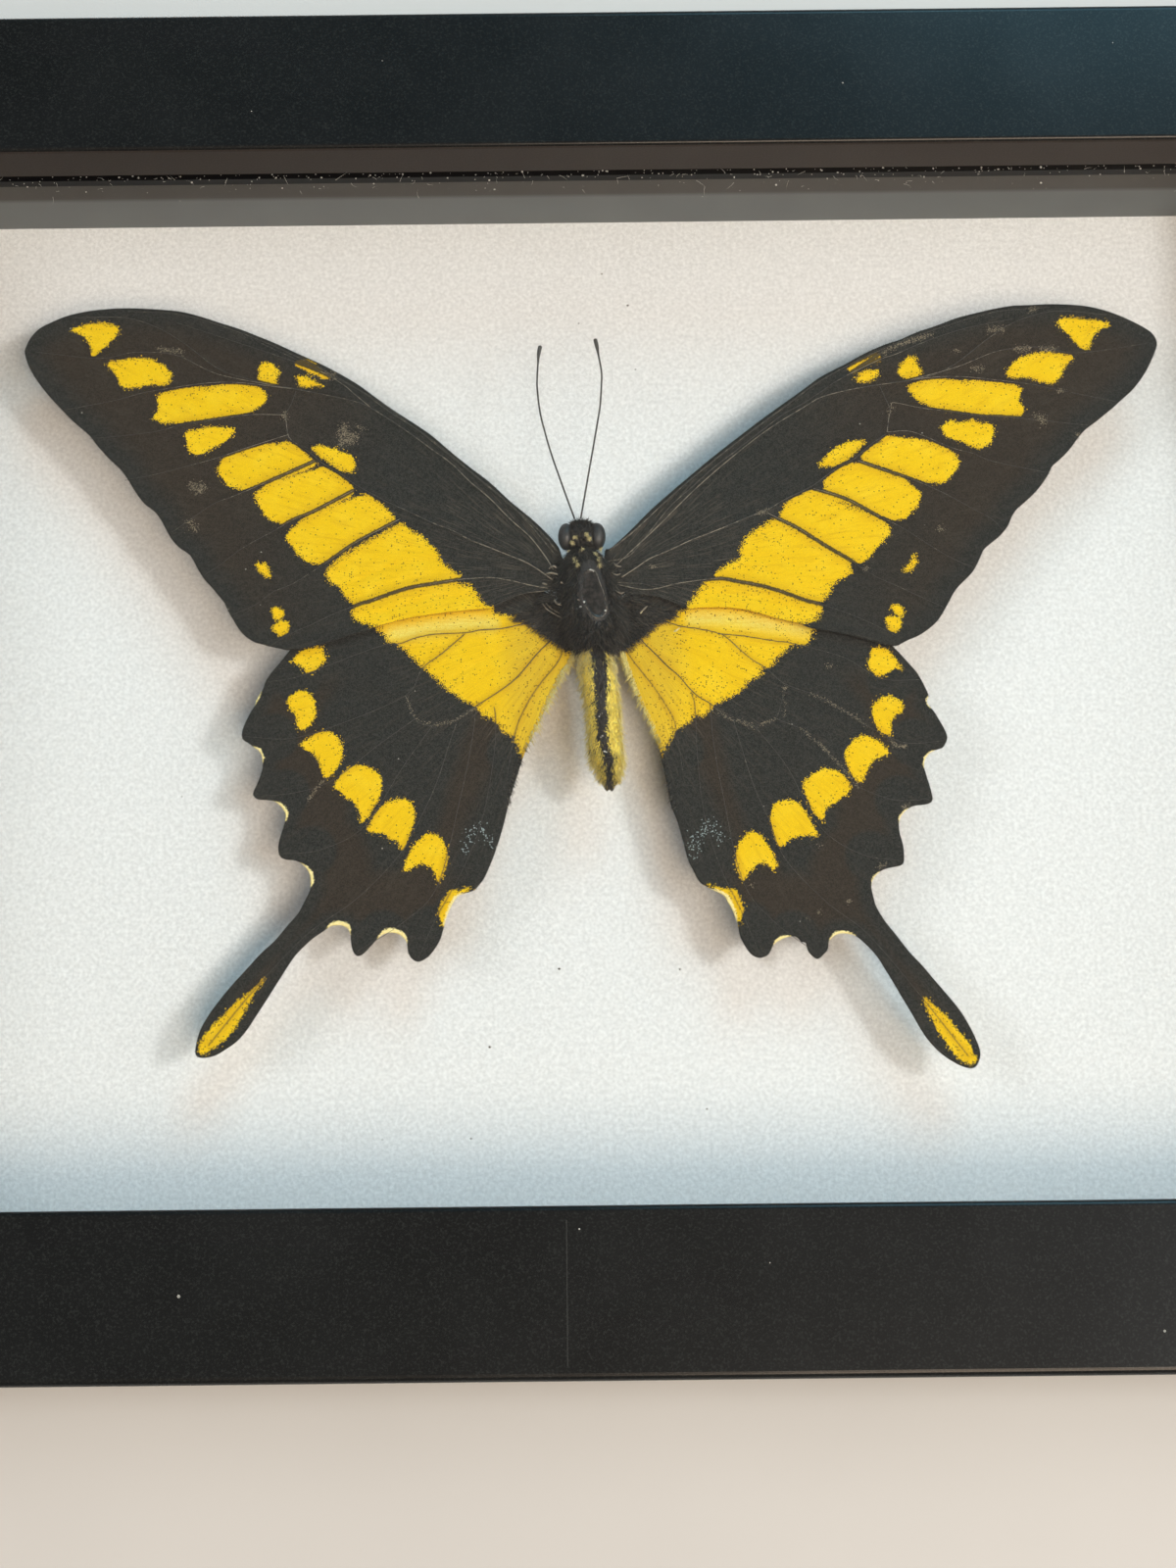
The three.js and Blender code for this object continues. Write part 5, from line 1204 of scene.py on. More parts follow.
def wing(name, level, edge, spots, veins, folds, rubs, cream, blue, base):
    """One wing: a cut sheet whose height is level + ridges - sag between veins - creases + a slow ripple."""
    outline = smooth(edge)
    low, high = outline.min(0) - STEP, outline.max(0) + STEP
    x, y = np.meshgrid(np.arange(low[0], high[0], STEP), np.arange(low[1], high[1], STEP))
    lattice = np.stack([x.ravel(), y.ravel()], 1)
    flat, faces = cut_sheet(lattice, x.shape, depth_inside(lattice, outline))
    yellow_at, nearest = deepest(flat, [loop for _, loop in spots])
    vein_at, ridge = vein_measures(flat, veins)
    rim_at = depth_inside(flat, outline, reach=12.0)
    crease = strokes(flat, [(CREASE_WIDTH, fold) for fold in folds])
    out = np.hypot(flat[:, 0] - base[0], flat[:, 1] - base[1])
    turned = np.arctan2(flat[:, 1] - base[1], np.abs(flat[:, 0] - base[0]))
    ripple = 0.06 * np.sin(flat[:, 0] * 0.45 + 1.3) * np.sin(flat[:, 1] * 0.38 + 0.4)
    hind = level == HINDWING_TOP
    relief, gap_scale, ink = (0.5, 1.0, 0.4) if hind else (1.0, 0.62, 0.95)
    sag = SAG * relief * (1 - np.exp(-vein_at / 1.1)) * ease(rim_at, 0.0, 2.0)
    height = level + RIDGE_SHARE * relief * ridge - sag - CREASE * crease + ripple
    brown, tint = ease(out, 22, 44) * ease(rim_at, 0.5, 4.0), np.zeros(len(flat))
    if hind:
        outer = np.maximum(ease(turned, -1.17, -1.05), ease(out, 30, 34))
        brown = ease(rim_at, 0.8, 2.2) * ease(-rim_at, -8.0, -6.0) * outer * ease(-flat[:, 1], -2.0, 3.0)
        for _, _, line in veins:
            before, end = points(line)[-2:]
            lobe = end + LOBE_INSIDE * unit(before - end)
            apart = np.hypot(flat[:, 0] - lobe[0], flat[:, 1] - lobe[1])
            brown = brown * ease(apart, LOBE_RADIUS, LOBE_RADIUS + LOBE_SOFT)
        golden = ease(TINT_REACH - np.abs(flat[:, 0] - base[0]), 0, TINT_FADE)
        fold_at = line_distance(flat, soft_line(folds[0]))[0]
        tint = np.where(nearest == 0, golden, 0.0) - np.exp(-fold_at ** 2)
    pepper = np.array([share for share, _ in spots])[nearest]
    marks = {
        "edges": np.stack([yellow_at, crescents(flat, cream), vein_at * gap_scale], 1),
        "wear": np.stack([strokes(flat, rubs), pepper, brown], 1),
        "tints": np.stack([tint, strokes(flat, blue), np.full(len(flat), ink)], 1),
        "weave": np.stack([turned * WEAVE_ACROSS, out * WEAVE_OUT, np.zeros(len(flat))], 1) * MM,
    }
    piece = build(name + "_sheet", lift(flat, height), [faces], wing_scales, "wing_scales", marks,
                  closed=False, stands_for=(name,))
    shell = piece.modifiers.new("thickness", "SOLIDIFY")
    shell.thickness = THICKNESS * MM
    shell.offset = -1.0
    return outline, flat, height


WING_ROOT = {"left": (-2.4, 12.0), "right": (2.4, 12.0)}
HIND_ROOT = {"left": (-2.4, 6.0), "right": (4.0, 6.0)}
wing_skins = {}
for side in ("left", "right"):
    wing_skins["fore", side] = wing(
        "forewing_" + side, FOREWING_TOP, FOREWING_EDGE[side], FOREWING_SPOTS[side], FOREWING_VEINS[side],
        FOREWING_FOLDS[side], FOREWING_RUBS[side], (), (), WING_ROOT[side])
    wing_skins["hind", side] = wing(
        "hindwing_" + side, HINDWING_TOP, HINDWING_EDGE[side], HINDWING_SPOTS[side], HINDWING_VEINS[side],
        HINDWING_FOLDS[side], HINDWING_RUBS[side], HINDWING_CREAM[side], HINDWING_BLUE[side], HIND_ROOT[side])

# %% [markdown]
# ## Veins
# Over each ridge lies the vein itself, a thin hollow rod that tapers from the root to the edge. On a
# dried specimen the rods are dark brown, and pale and shiny near the body, where handling has rubbed
# their scales off. They are round profiles carried along the lines that raised the ridges, sunk into the
# skin. Each corner knows how bare it is.

# %% Veins
rod, tree, shader, place = start_material("vein_brown", 0.5)
clouds = mottled(tree, place, 900.0, 5200.0)
bareness = read_marks(tree, "wear")[0]
chipped = noise(tree, place, 0.5, 3.0, 0.6)
bare = step(tree, scaled(tree, bareness, 0.26, chipped), 0.56, 0.76)
surface(tree, shader, blend(tree, bare, paint(46, 41, 33), paint(124, 113, 97)), clouds["Grain"], 0.02, 0.5)


def height_at(skin, where):
    """The height of a wing's skin at a few points: that of the nearest corner of its mesh."""
    _, flat, height = skin
    gap = (where[:, None, 0] - flat[None, :, 0]) ** 2 + (where[:, None, 1] - flat[None, :, 1]) ** 2
    return height[gap.argmin(1)]


AROUND = 6
# The first two veins of each wing are the main ones, and less of them is bare.
MAIN_VEINS, MAIN_BARE = 2, 0.45


def vein_rods(name, skin, veins, thick, bare_share):
    """All the rods of one wing: radius and bareness fall evenly to the tip, centre half a radius down."""
    rods, bareness = [], []
    for number, (root, tip, line) in enumerate(veins):
        path = soft_line(line, steps=6)
        along = np.linspace(0, 1, len(path))
        shown = bare_share * (MAIN_BARE if number < MAIN_VEINS else 1.0)
        radius = thick * (root + (tip - root) * along)
        rods.append(tube(lift(path, height_at(skin, path) - 0.45 * radius), radius, AROUND))
        bareness.append(np.repeat(np.clip(shown - 1.5 * along, 0, 1), AROUND))
    corners, faces = join(rods)
    bareness = np.concatenate(bareness)
    build(name, corners, faces, rod, "wing_scales", {"wear": np.stack([bareness, bareness, bareness], 1)})


for side in ("left", "right"):
    vein_rods("forewing_veins_" + side, wing_skins["fore", side], FOREWING_VEINS[side], 0.40, 1.0)
    vein_rods("hindwing_veins_" + side, wing_skins["hind", side], HINDWING_VEINS[side], 0.42, 0.1)

# %% [markdown]
# Where a wing joins the thorax there are small hard plates, the hinges. Their edges catch the light as
# short pale strokes among the black hair. Each is a short bare rod, laid at the height of the hair.

# %% Hinge plates
# Radius, height above the back of the frame, then the stroke.
HINGES = [(0.16, 17.3, "-4.2 12.2, -3.7 12.5, -3.3 12.3"), (0.13, 17.3, "-4.6 11.6, -3.9 11.7, -3.2 11.5"),
          (0.15, 17.6, "-2.9 10.5, -2.6 10.3"), (0.12, 17.0, "-5.0 10.6, -4.4 10.4"),
          (0.14, 17.4, "-3.6 8.5, -3.3 8.0, -2.8 7.8"), (0.11, 18.0, "-1.0 8.3, -0.7 8.1"),
          (0.07, 17.0, "-5.0 8.2, -4.5 7.5, -4.0 7.1, -2.8 6.4"),
          (0.05, 16.8, "-4.6 8.3, -4.0 7.6, -3.0 7.0"),
          (0.11, 16.4, "6.1 7.1, 6.6 7.5, 7.0 7.9"), (0.09, 17.0, "2.9 11.8, 3.5 11.5, 4.0 11.6"),
          (0.10, 17.2, "3.2 12.9, 3.6 12.5, 4.1 12.4"), (0.09, 17.2, "3.4 9.6, 3.9 9.2, 4.4 9.3")]
hinges = []
for radius, level, line in HINGES:
    path = soft_line(line, steps=5)
    taper = radius * (0.35 + 0.65 * np.sin(np.pi * np.linspace(0.05, 0.95, len(path))))
    hinges.append(tube(lift(path, level), taper, AROUND))
corners, faces = join(hinges)
# The plates are real, but a high bareness makes them pale: that pale colour is painted highlight, the light
# caught on their edges.
build("wing_hinges", corners, faces, rod, "body_fur", {"wear": np.full((len(corners), 3), 0.9)})

# %% [markdown]
# ## Hair, in thousands
# The body, the wing roots and the inner edges of the hindwings are hairy. One hair is a three-sided spike
# of sixteen triangles that bends over towards its tip. A whole coat is made in one go as arrays: roots,
# headings, lengths and colours. The random numbers come from seeded generators, so the coat lies the same
# way each time.

# %% Hair, in thousands
RINGS, SIDES = np.array([0.0, 0.4, 0.75]), 3
HAIR_CORNERS = SIDES * len(RINGS) + 1


def spikes(roots, headings, lengths, radius, bend):
    """Hairs as tapering spikes: axis = root + length (t heading + t squared bend), radius x (1 - 0.7 t)."""
    headings = unit(headings)
    side = unit(np.cross(headings, [0.13, 0.31, 0.94]))
    long = lengths[:, None]
    t = RINGS[None, :, None]
    axis = roots[:, None] + long[:, None] * (headings[:, None] * t + bend[:, None] * t ** 2)
    ring = spokes(side, np.cross(side, headings), SIDES)
    thin = (radius * (1 - 0.7 * RINGS))[None, :, None, None]
    body = (axis[:, :, None] + thin * ring[:, None]).reshape(len(roots), -1, 3)
    tips = (roots + long * (headings + bend))[:, None]
    corners = np.concatenate([body, tips], 1)
    j, k = np.arange(SIDES), np.roll(np.arange(SIDES), -1)
    rows = [np.stack([low + j, low + SIDES + j, low + SIDES + k, low + k], 1) for low in (0, SIDES)]
    quads = np.concatenate(rows)
    tip = np.stack([2 * SIDES + j, np.full(SIDES, HAIR_CORNERS - 1), 2 * SIDES + k], 1)
    caps = np.concatenate([tip, [[0, 1, 2]]])
    shift = (np.arange(len(roots)) * HAIR_CORNERS)[:, None, None]
    return corners.reshape(-1, 3), [(quads + shift).reshape(-1, 4), (caps + shift).reshape(-1, 3)]


hair_coat, tree, shader, place = start_material("hair", 0.55)
tone, yellowness, paleness = read_marks(tree, "dye")
base = blend(tree, tone, paint(23, 22, 19), paint(108, 97, 82))
base = blend(tree, yellowness, base, paint(244, 220, 104))
base = blend(tree, paleness, base, paint(244, 232, 180))
ripple = noise(tree, place, 0.3, 2.0)
base = blend(tree, times(tree, ripple, 0.25), base, paint(20, 17, 14))
surface(tree, shader, base, ripple, 0.01, 0.5)


def hair(name, finish, roots, headings, lengths, radius, bend, dye):
    """A coat of hair as one piece; dye is darkness, yellowness and paleness for each hair."""
    corners, faces = spikes(roots, headings, lengths, radius, bend)
    build(name, corners, faces, hair_coat, finish, {"dye": np.repeat(dye, HAIR_CORNERS, axis=0)})


def dyes(count, rng, yellow=0.0, pale=0.0):
    """A dye for each hair: a tone that is dark for most and light for a few, then yellowness and paleness."""
    return np.stack([rng.random(count) ** 3, np.broadcast_to(yellow, count), np.broadcast_to(pale, count)], 1)


# %% [markdown]
# ## The body
# Head, thorax and abdomen are three rounded forms, each a stack of rings: a centre line, a half width and
# a half height that change along the body. On the back of the thorax the hair has rubbed away and the
# shell shows, dark and glossy. The abdomen is ringed, yellow, with one black stripe down the middle.

# %% Body forms
BODY_LEVEL = 15.6


def trunk(profile, count, around=48):
    """Rings across the body: x = centre + half width cos a, z = level + half height sin a, at each y."""
    y, centre, wide, high = smooth(points(profile), closed=False, steps=8).T
    pace = np.linspace(0, len(y) - 1, count)
    y, centre, wide, high = (np.interp(pace, np.arange(len(y)), line) for line in (y, centre, wide, high))
    turn = np.arange(around) * 2 * np.pi / around
    x = centre[:, None] + wide[:, None] * np.cos(turn)
    z = BODY_LEVEL + high[:, None] * np.sin(turn)
    return np.stack([x, np.broadcast_to(y[:, None], x.shape), z], -1)


# y, centre, half width, half height
THORAX = ("15.3 -0.2 0.5 0.5, 14.9 -0.2 1.3 1.3, 14.0 -0.1 1.9 1.9, 12.5 0.1 2.5 2.4, 10.5 0.3 2.9 2.6,"
          "8.5 0.6 3.0 2.6, 6.5 0.9 2.8 2.5, 4.6 1.0 2.3 2.2, 3.2 1.0 1.8 1.8, 2.4 1.1 0.8 0.8")
HEAD = ("18.4 -0.4 0.3 0.3, 18.1 -0.4 1.0 0.9, 17.5 -0.4 1.6 1.5, 16.6 -0.4 1.9 1.8, 15.7 -0.3 1.8 1.7,"
        "15.0 -0.2 1.2 1.2, 14.6 -0.2 0.6 0.6")
ABDOMEN = ("3.4 0.9 1.0 1.0, 2.8 1.0 1.7 1.6, 1.5 1.1 1.9 1.8, 0.5 1.2 1.9 1.8, -1.7 1.5 1.9 1.8,"
           "-4.0 1.8 1.8 1.7, -6.3 1.9 1.8 1.7, -8.5 2.0 1.8 1.6, -10.0 2.2 1.7 1.5, -11.3 2.4 1.2 1.2,"
           "-12.4 2.4 0.8 0.8, -13.1 2.4 0.4 0.4, -13.4 2.4 0.15 0.15")
BARE_BACK = smooth(points("-0.3 11.4, 0.2 11.7, 0.7 11.8, 1.2 11.4, 1.6 10.2, 2.0 9.1, 2.3 7.8, 2.3 6.8,"
                          "1.9 6.2, 1.2 6.0, 0.6 6.4, -0.2 7.7, -0.5 8.4, -0.5 9.8"))
STRIPE = smooth(points("0.6 3.4, 0.5 2.8, 0.8 0.5, 0.9 -1.7, 1.0 -4.0, 1.1 -6.3, 1.3 -8.3, 1.8 -9.5,"
                       "1.7 -10.4, 2.1 -11.0, 2.1 -12.2, 2.0 -13.8, 2.9 -13.8, 2.8 -12.2, 2.7 -10.8,"
                       "3.0 -10.1, 2.7 -9.5, 2.1 -7.9, 2.3 -6.3, 2.2 -4.0, 2.3 -1.7, 2.2 0.5, 2.0 2.8,"
                       "1.9 3.4"))
# One ring of the abdomen, where the first begins, and how much narrower it is between rings.
SEGMENT, FIRST_SEGMENT, PINCH = 1.95, 2.6, 0.045

thorax_rings = trunk(THORAX, 150, around=120)
flat_rings = thorax_rings[..., :2].reshape(-1, 2)
plate = depth_inside(flat_rings, BARE_BACK).reshape(thorax_rings.shape[:2])
upper = thorax_rings[..., 2] > BODY_LEVEL
rim = np.exp(-((plate - 0.12) / 0.13) ** 2)
dent = ease(plate, 0.2, 0.9) * np.sin(thorax_rings[..., 1] * 1.1 + thorax_rings[..., 0])
thorax_rings[..., 2] += upper * (0.14 * rim + 0.05 * dent)
head_rings = trunk(HEAD, 36)
abdomen_rings = trunk(ABDOMEN, 110)
waist = np.abs(np.sin(np.pi * (abdomen_rings[..., 1] - FIRST_SEGMENT) / SEGMENT)) ** 0.35
middle = abdomen_rings.mean(axis=1, keepdims=True)
abdomen_rings = middle + (abdomen_rings - middle) * (1 - PINCH + PINCH * waist)[..., None]

# %% [markdown]
# The shell's finish reads two measurements: how deep a corner is inside the bare patch or the stripe, and
# whether it is yellow at all. Black chitin shines; yellow scales are dull and a little dusty.

# %% Body finish
body_fur, tree, shader, place = start_material("body_fur", 0.6)
stripe_depth, bare_depth, yellow_here = read_marks(tree, "coat")
coarse = noise(tree, place, 0.5, 2.0)
fine = noise(tree, place, 0.16, 2.0)
grains = use_group(tree, scales, place, Scale=7500.0)
fray = plus(tree, scaled(tree, coarse, 1.6, -0.8), scaled(tree, fine, 1.6, -0.8))
stripe_mask = step(tree, plus(tree, stripe_depth, fray), -0.06, 0.06)
bare_mask = step(tree, plus(tree, bare_depth, times(tree, fray, 0.5)), -0.1, 0.1)
dark = blend(tree, grains["Tone"], paint(24, 22, 20), paint(40, 34, 29))
shell = blend(tree, step(tree, coarse, 0.4, 0.75), paint(38, 35, 32), paint(64, 58, 53))
dark = blend(tree, bare_mask, dark, shell)
gold = blend(tree, grains["Tone"], paint(248, 226, 104), paint(232, 204, 78))
gold = blend(tree, times(tree, step(tree, fine, 0.58, 0.68), 0.3), gold, paint(150, 122, 44))
banded = blend(tree, times(tree, yellow_here, inverse(tree, stripe_mask)), dark, gold)
tree.links.new(banded, shader.inputs["Base Color"])
tree.links.new(node(tree, "MapRange", {"Value": bare_mask, "To Min": 0.72, "To Max": 0.16}).outputs[0],
               shader.inputs["Roughness"])
rough_part = inverse(tree, times(tree, bare_mask, 0.85))
relief = times(tree, plus(tree, grains["Height"], coarse), rough_part)
raise_surface(tree, shader, relief, 0.05, 0.6)


def coat_marks(corners, yellow):
    """Depth inside the stripe and the bare patch, seen from above, for corners on the upper side only."""
    flat, upper = corners[:, :2], corners[:, 2] > BODY_LEVEL
    stripe = np.where(upper, depth_inside(flat, STRIPE) + 0.12, -REACH)
    bare = np.where(upper, depth_inside(flat, BARE_BACK), -REACH)
    return {"coat": np.stack([stripe, bare, np.full(len(flat), yellow)], 1)}


FORMS = (("thorax", thorax_rings, 0.0), ("head", head_rings, 0.0), ("abdomen", abdomen_rings, 1.0))
for name, rings, yellow in FORMS:
    corners, faces = skin(rings)
    build(name, corners, faces, body_fur, "body_fur", coat_marks(corners, yellow), stands_for=("body",))

# %% [markdown]
# ## Eyes and feelers
# A butterfly's eye is a dark ball of thousands of tiny facets, which a cell pattern gives as bump. A
# feeler is a thin jointed thread that ends in a slim club. Its radius grows over the last few
# millimetres, and shallow rings mark its joints.

# %% Eyes and feelers
EYES = {"eye_left": (-2.2, 16.5, 16.0), "eye_right": (1.4, 16.5, 16.0)}
EYE_SIZE = (0.95, 1.6, 1.3)
FEELER_JOINTS, FEELER_LEVEL = 60, 17.4
FEELERS = {
    "antenna_left": "-1.2 18.2, -2.0 20.5, -3.0 23.5, -3.8 26.0, -4.5 28.6, -5.1 31.3, -5.4 34.2,"
                    "-5.4 35.7, -5.3 37.5, -5.2 38.8, -5.0 39.8",
    "antenna_right": "-0.5 18.2, -0.1 20.4, 0.5 23.8, 1.0 26.6, 1.5 29.5, 1.9 32.0, 2.1 34.9, 2.1 36.3,"
                     "1.8 38.3, 1.6 39.6, 1.4 40.6",
}

eye_black, tree, shader, place = start_material("eye_facets", 0.45)
facets = cells(tree, place, 0.11)
facet_rim = step(tree, facets.outputs["Distance"], 0.2, 0.6)
surface(tree, shader, blend(tree, facet_rim, paint(52, 50, 48), paint(28, 26, 25)),
        facets.outputs["Distance"], 0.03, 0.7)
for name, centre in EYES.items():
    build(name, *skin(globe(20, 28, 0.12) * EYE_SIZE + centre), eye_black, "body_fur")

feeler_black, tree, shader, place = start_material("antenna_black", 0.5)
clouds = mottled(tree, place, 700.0, 9000.0)
dull_black = blend(tree, clouds["Cloud"], paint(42, 39, 36), paint(72, 66, 58))
surface(tree, shader, dull_black, clouds["Grain"], 0.01, 0.6)
for name, line in FEELERS.items():
    path = soft_line(line, steps=24)
    share = np.linspace(0, 1, len(path))
    club = ease(share, 0.78, 0.93) * ease(-share, -1.0, -0.985)
    joints = 1 + 0.07 * np.cos(share * 2 * np.pi * FEELER_JOINTS)
    radius = (0.105 + 0.13 * club) * joints * (1 - 0.45 * ease(share, 0.985, 1.0))
    rise = FEELER_LEVEL - 0.2 * share + 0.35 * np.sin(np.pi * share)
    corners, faces = tube(lift(path, rise), radius, 8)
    build(name + "_thread", corners, faces, feeler_black, "antenna_black", stands_for=(name,))

# %% [markdown]
# ## The coat of the body
# Hair grows from the forms just made. For the thorax, random spots on the upper rings are the roots,
# those inside the bare patch are dropped, and each hair leans back towards the tail and out to its own
# side. Small tufts of cream hair mark the head and the neck. The abdomen has short flat hair that hides
# its edges.

# %% The coat of the body
TAILWARD = np.array([0.0, -1.0, 0.0])
THORAX_HAIRS, HEAD_HAIRS, ABDOMEN_HAIRS, TUFT_HAIRS = 7000, 1500, 5200, 60


def roots_on(rings, count, rng, past):
    """Random places on the upper side of a stack of rings and a little past it, and the way out at each."""
    row = rng.random(count) * (len(rings) - 1)
    turn = -past + rng.random(count) * (np.pi + 2 * past)
    column = turn / (2 * np.pi) * rings.shape[1]
    first = rings[row.astype(int), column.astype(int) % rings.shape[1]]
    after = rings[np.minimum(row.astype(int) + 1, len(rings) - 1), (column.astype(int) + 1) % rings.shape[1]]
    place = first + (after - first) * rng.random((count, 1))
    centre = rings.mean(axis=1)[row.astype(int)]
    return place, unit((place - centre) * [1.0, 0.2, 1.0])


rng = np.random.default_rng(11)
roots, outward = roots_on(thorax_rings, THORAX_HAIRS, rng, 0.5)
tips_over_patch = depth_inside(roots[:, :2] - [0, 1.2], BARE_BACK) > -0.2
kept = ~(tips_over_patch | (depth_inside(roots[:, :2], BARE_BACK) > -0.25))
roots, outward = roots[kept], outward[kept]
lean = 0.75 * outward + 0.8 * TAILWARD + 0.35 * rng.normal(size=roots.shape)
flow = np.abs(roots[:, 0] - 0.4) / 3
hair("thorax_hair", "body_fur", roots, lean, 0.5 + 1.1 * rng.random(len(roots)) * (0.3 + flow), 0.04,
     0.35 * TAILWARD + 0.15 * rng.normal(size=roots.shape), dyes(len(roots), rng))

rng = np.random.default_rng(12)
roots, outward = roots_on(head_rings, HEAD_HAIRS, rng, 0.3)
lean = 0.9 * outward + [0, 0.3, 0] + 0.4 * rng.normal(size=roots.shape)
hair("head_hair", "body_fur", roots, lean, 0.3 + 0.4 * rng.random(len(roots)), 0.035,
     0.2 * rng.normal(size=roots.shape), dyes(len(roots), rng))

# %% Tufts of cream hair
# The middle of each tuft and how wide it spreads.
TUFTS = [(-1.2, 16.1, 0.13), (-1.5, 15.6, 0.13), (0.1, 16.4, 0.12), (0.4, 15.9, 0.16), (1.7, 15.1, 0.12),
         (-0.4, 14.6, 0.06), (-1.9, 14.8, 0.08), (-1.3, 13.5, 0.13), (-1.1, 13.0, 0.16), (-0.9, 12.5, 0.12),
         (1.1, 14.1, 0.12), (1.4, 13.3, 0.15), (1.6, 12.6, 0.13)]


def top_of(x, y):
    """The height of head or thorax above a point: the level plus the half height of the oval through it."""
    tops = []
    for rings in (head_rings, thorax_rings):
        ring = rings[np.abs(rings[:, 0, 1] - y).argmin()]
        if abs(ring[0, 1] - y) < 0.5:
            wide, high = np.ptp(ring[:, 0]) / 2, np.ptp(ring[:, 2]) / 2
            tops.append(BODY_LEVEL + high * np.sqrt(max(0.05, 1 - ((x - ring[:, 0].mean()) / wide) ** 2)))
    return max(tops)


rng = np.random.default_rng(13)
roots, shades = [], []
for x, y, spread in TUFTS:
    spot = rng.normal(scale=spread / 2, size=(TUFT_HAIRS, 2)) + (x, y)
    roots.append(lift(spot, top_of(x, y) + 0.05))
    shades.append(dyes(TUFT_HAIRS, rng, yellow=0.4, pale=0.8))
roots = np.concatenate(roots)
lean = np.array([0, -0.5, 1.0]) + 0.5 * rng.normal(size=roots.shape)
hair("cream_tufts", "body_fur", roots, lean, 0.3 + 0.25 * rng.random(len(roots)), 0.04,
     0.4 * TAILWARD + 0.1 * rng.normal(size=roots.shape), np.concatenate(shades))

# Place of the root, then the direction and length of a few pale hairs that have come loose and lie on the
# wings.
LOOSE_HAIRS = [((10.0, 5.0, 15.7), (0.8, 0.6, 0.0), 0.9), ((10.2, 5.0, 15.7), (0.8, 0.7, 0.0), 0.8),
               ((-0.9, 3.5, 15.6), (-0.5, -1.0, -0.1), 1.1), ((-0.6, 3.5, 15.7), (-0.5, -1.0, -0.1), 0.8),
               ((6.2, 7.0, 16.4), (0.7, 0.8, 0.0), 1.2)]
roots, lean = (np.array([entry[k] for entry in LOOSE_HAIRS]) for k in (0, 1))
lengths = np.array([entry[2] for entry in LOOSE_HAIRS])
hair("loose_hairs", "body_fur", roots, lean, lengths, 0.06, np.zeros_like(roots),
     dyes(len(roots), rng, 0.3, 0.9))

# %% The rim of the bare patch
# The rim is a real raised edge, but this pale tube along it is painted highlight, the light that edge
# catches.
RIM = smooth(points("0.2 11.6, 0.7 11.8, 1.2 11.4, 1.6 10.2, 2.0 9.1, 2.3 7.8, 2.3 6.8, 1.9 6.2, 1.2 6.0,"
                    "0.6 6.4, -0.1 7.5"), closed=False)
heights = [top_of(x, y) + 0.06 for x, y in RIM]
corners, faces = tube(lift(RIM, heights), np.full(len(RIM), 0.045), AROUND)
build("thorax_rim_highlight", corners, faces, rod, "body_fur", {"wear": np.full((len(corners), 3), 0.6)})

# %% Hair of the abdomen
rng = np.random.default_rng(14)
roots, outward = roots_on(abdomen_rings, ABDOMEN_HAIRS, rng, 0.6)
in_stripe = depth_inside(roots[:, :2], STRIPE) + 0.2 * rng.normal(size=len(roots)) > -0.1
lean = 0.5 * outward + TAILWARD + 0.25 * rng.normal(size=roots.shape)
shade = dyes(len(roots), rng)
# Dark hairs on the left half of the abdomen are painted shade: that side is darker because the light comes
# from the right.
left_side_shade = (rng.random(len(roots)) < 0.12) & (roots[:, 0] < 0.9 - 0.1 * roots[:, 1])
shade[:, 1] = np.where(in_stripe | left_side_shade, 0.0, 0.9 + 0.1 * rng.random(len(roots)))
at_side = ease(np.abs(outward[:, 0]), 0.75, 0.95)
paleness = 0.4 * ease(roots[:, 1], -2.0, 3.0) + (0.15 + 0.5 * at_side) * rng.random(len(roots))
shade[:, 2] = np.where(in_stripe, 0.0, paleness)
shorter_at_tip = 1 - 0.7 * ease(-roots[:, 1], 11.8, 12.8)
lengths = (0.3 + 0.45 * rng.random(len(roots))) * (1 + 0.6 * at_side) * shorter_at_tip
hair("abdomen_hair", "body_fur", roots, lean, lengths, 0.04, 0.1 * rng.normal(size=roots.shape), shade)

# %% [markdown]
# ## Hair on the wings
# Long black hair runs from the thorax over the roots of the wings and frays the top edge of the yellow
# field. Along the inner edge of each hindwing hangs a fringe, pale beside the yellow and dark below it.
# All the other edges carry a very short fringe of scales, which follows the outline drawn above.

# %% Hair on the wings
ROOT_HAIRS, EDGE_HAIRS = 2200, 600
ROOT_PATCH = {"left": "-2.4 13.6, -3.6 12.4, -4.0 10.2, -5.8 8.3, -8.2 7.3, -6.2 6.2, -5.0 5.2, -3.6 4.3,"
                      "-2.0 3.6, -1.6 8.0",
              "right": "2.4 13.6, 3.8 12.4, 4.4 10.2, 7.4 8.4, 10.2 7.3, 8.0 6.2, 6.8 5.2, 5.4 4.0,"
                       "3.8 3.3, 2.6 8.0"}
INNER_EDGE = {"left": "-1.2 3.2, -1.9 1.6, -2.9 0.2, -4.4 -2.9, -5.8 -6.0, -7.3 -9.3, -8.4 -12.6,"
                      "-9.2 -15.6",
              "right": "4.0 3.0, 4.3 1.8, 5.0 -0.2, 5.9 -2.7, 7.3 -5.9, 8.3 -9.1, 8.9 -12.5, 9.6 -15.8"}


def scatter_in(loop, count, rng):
    """Random points inside a closed line: points in its box, keeping those inside."""
    low, high = loop.min(0), loop.max(0)
    spots = low + rng.random((count * 3, 2)) * (high - low)
    return spots[inside(spots, loop)][:count]


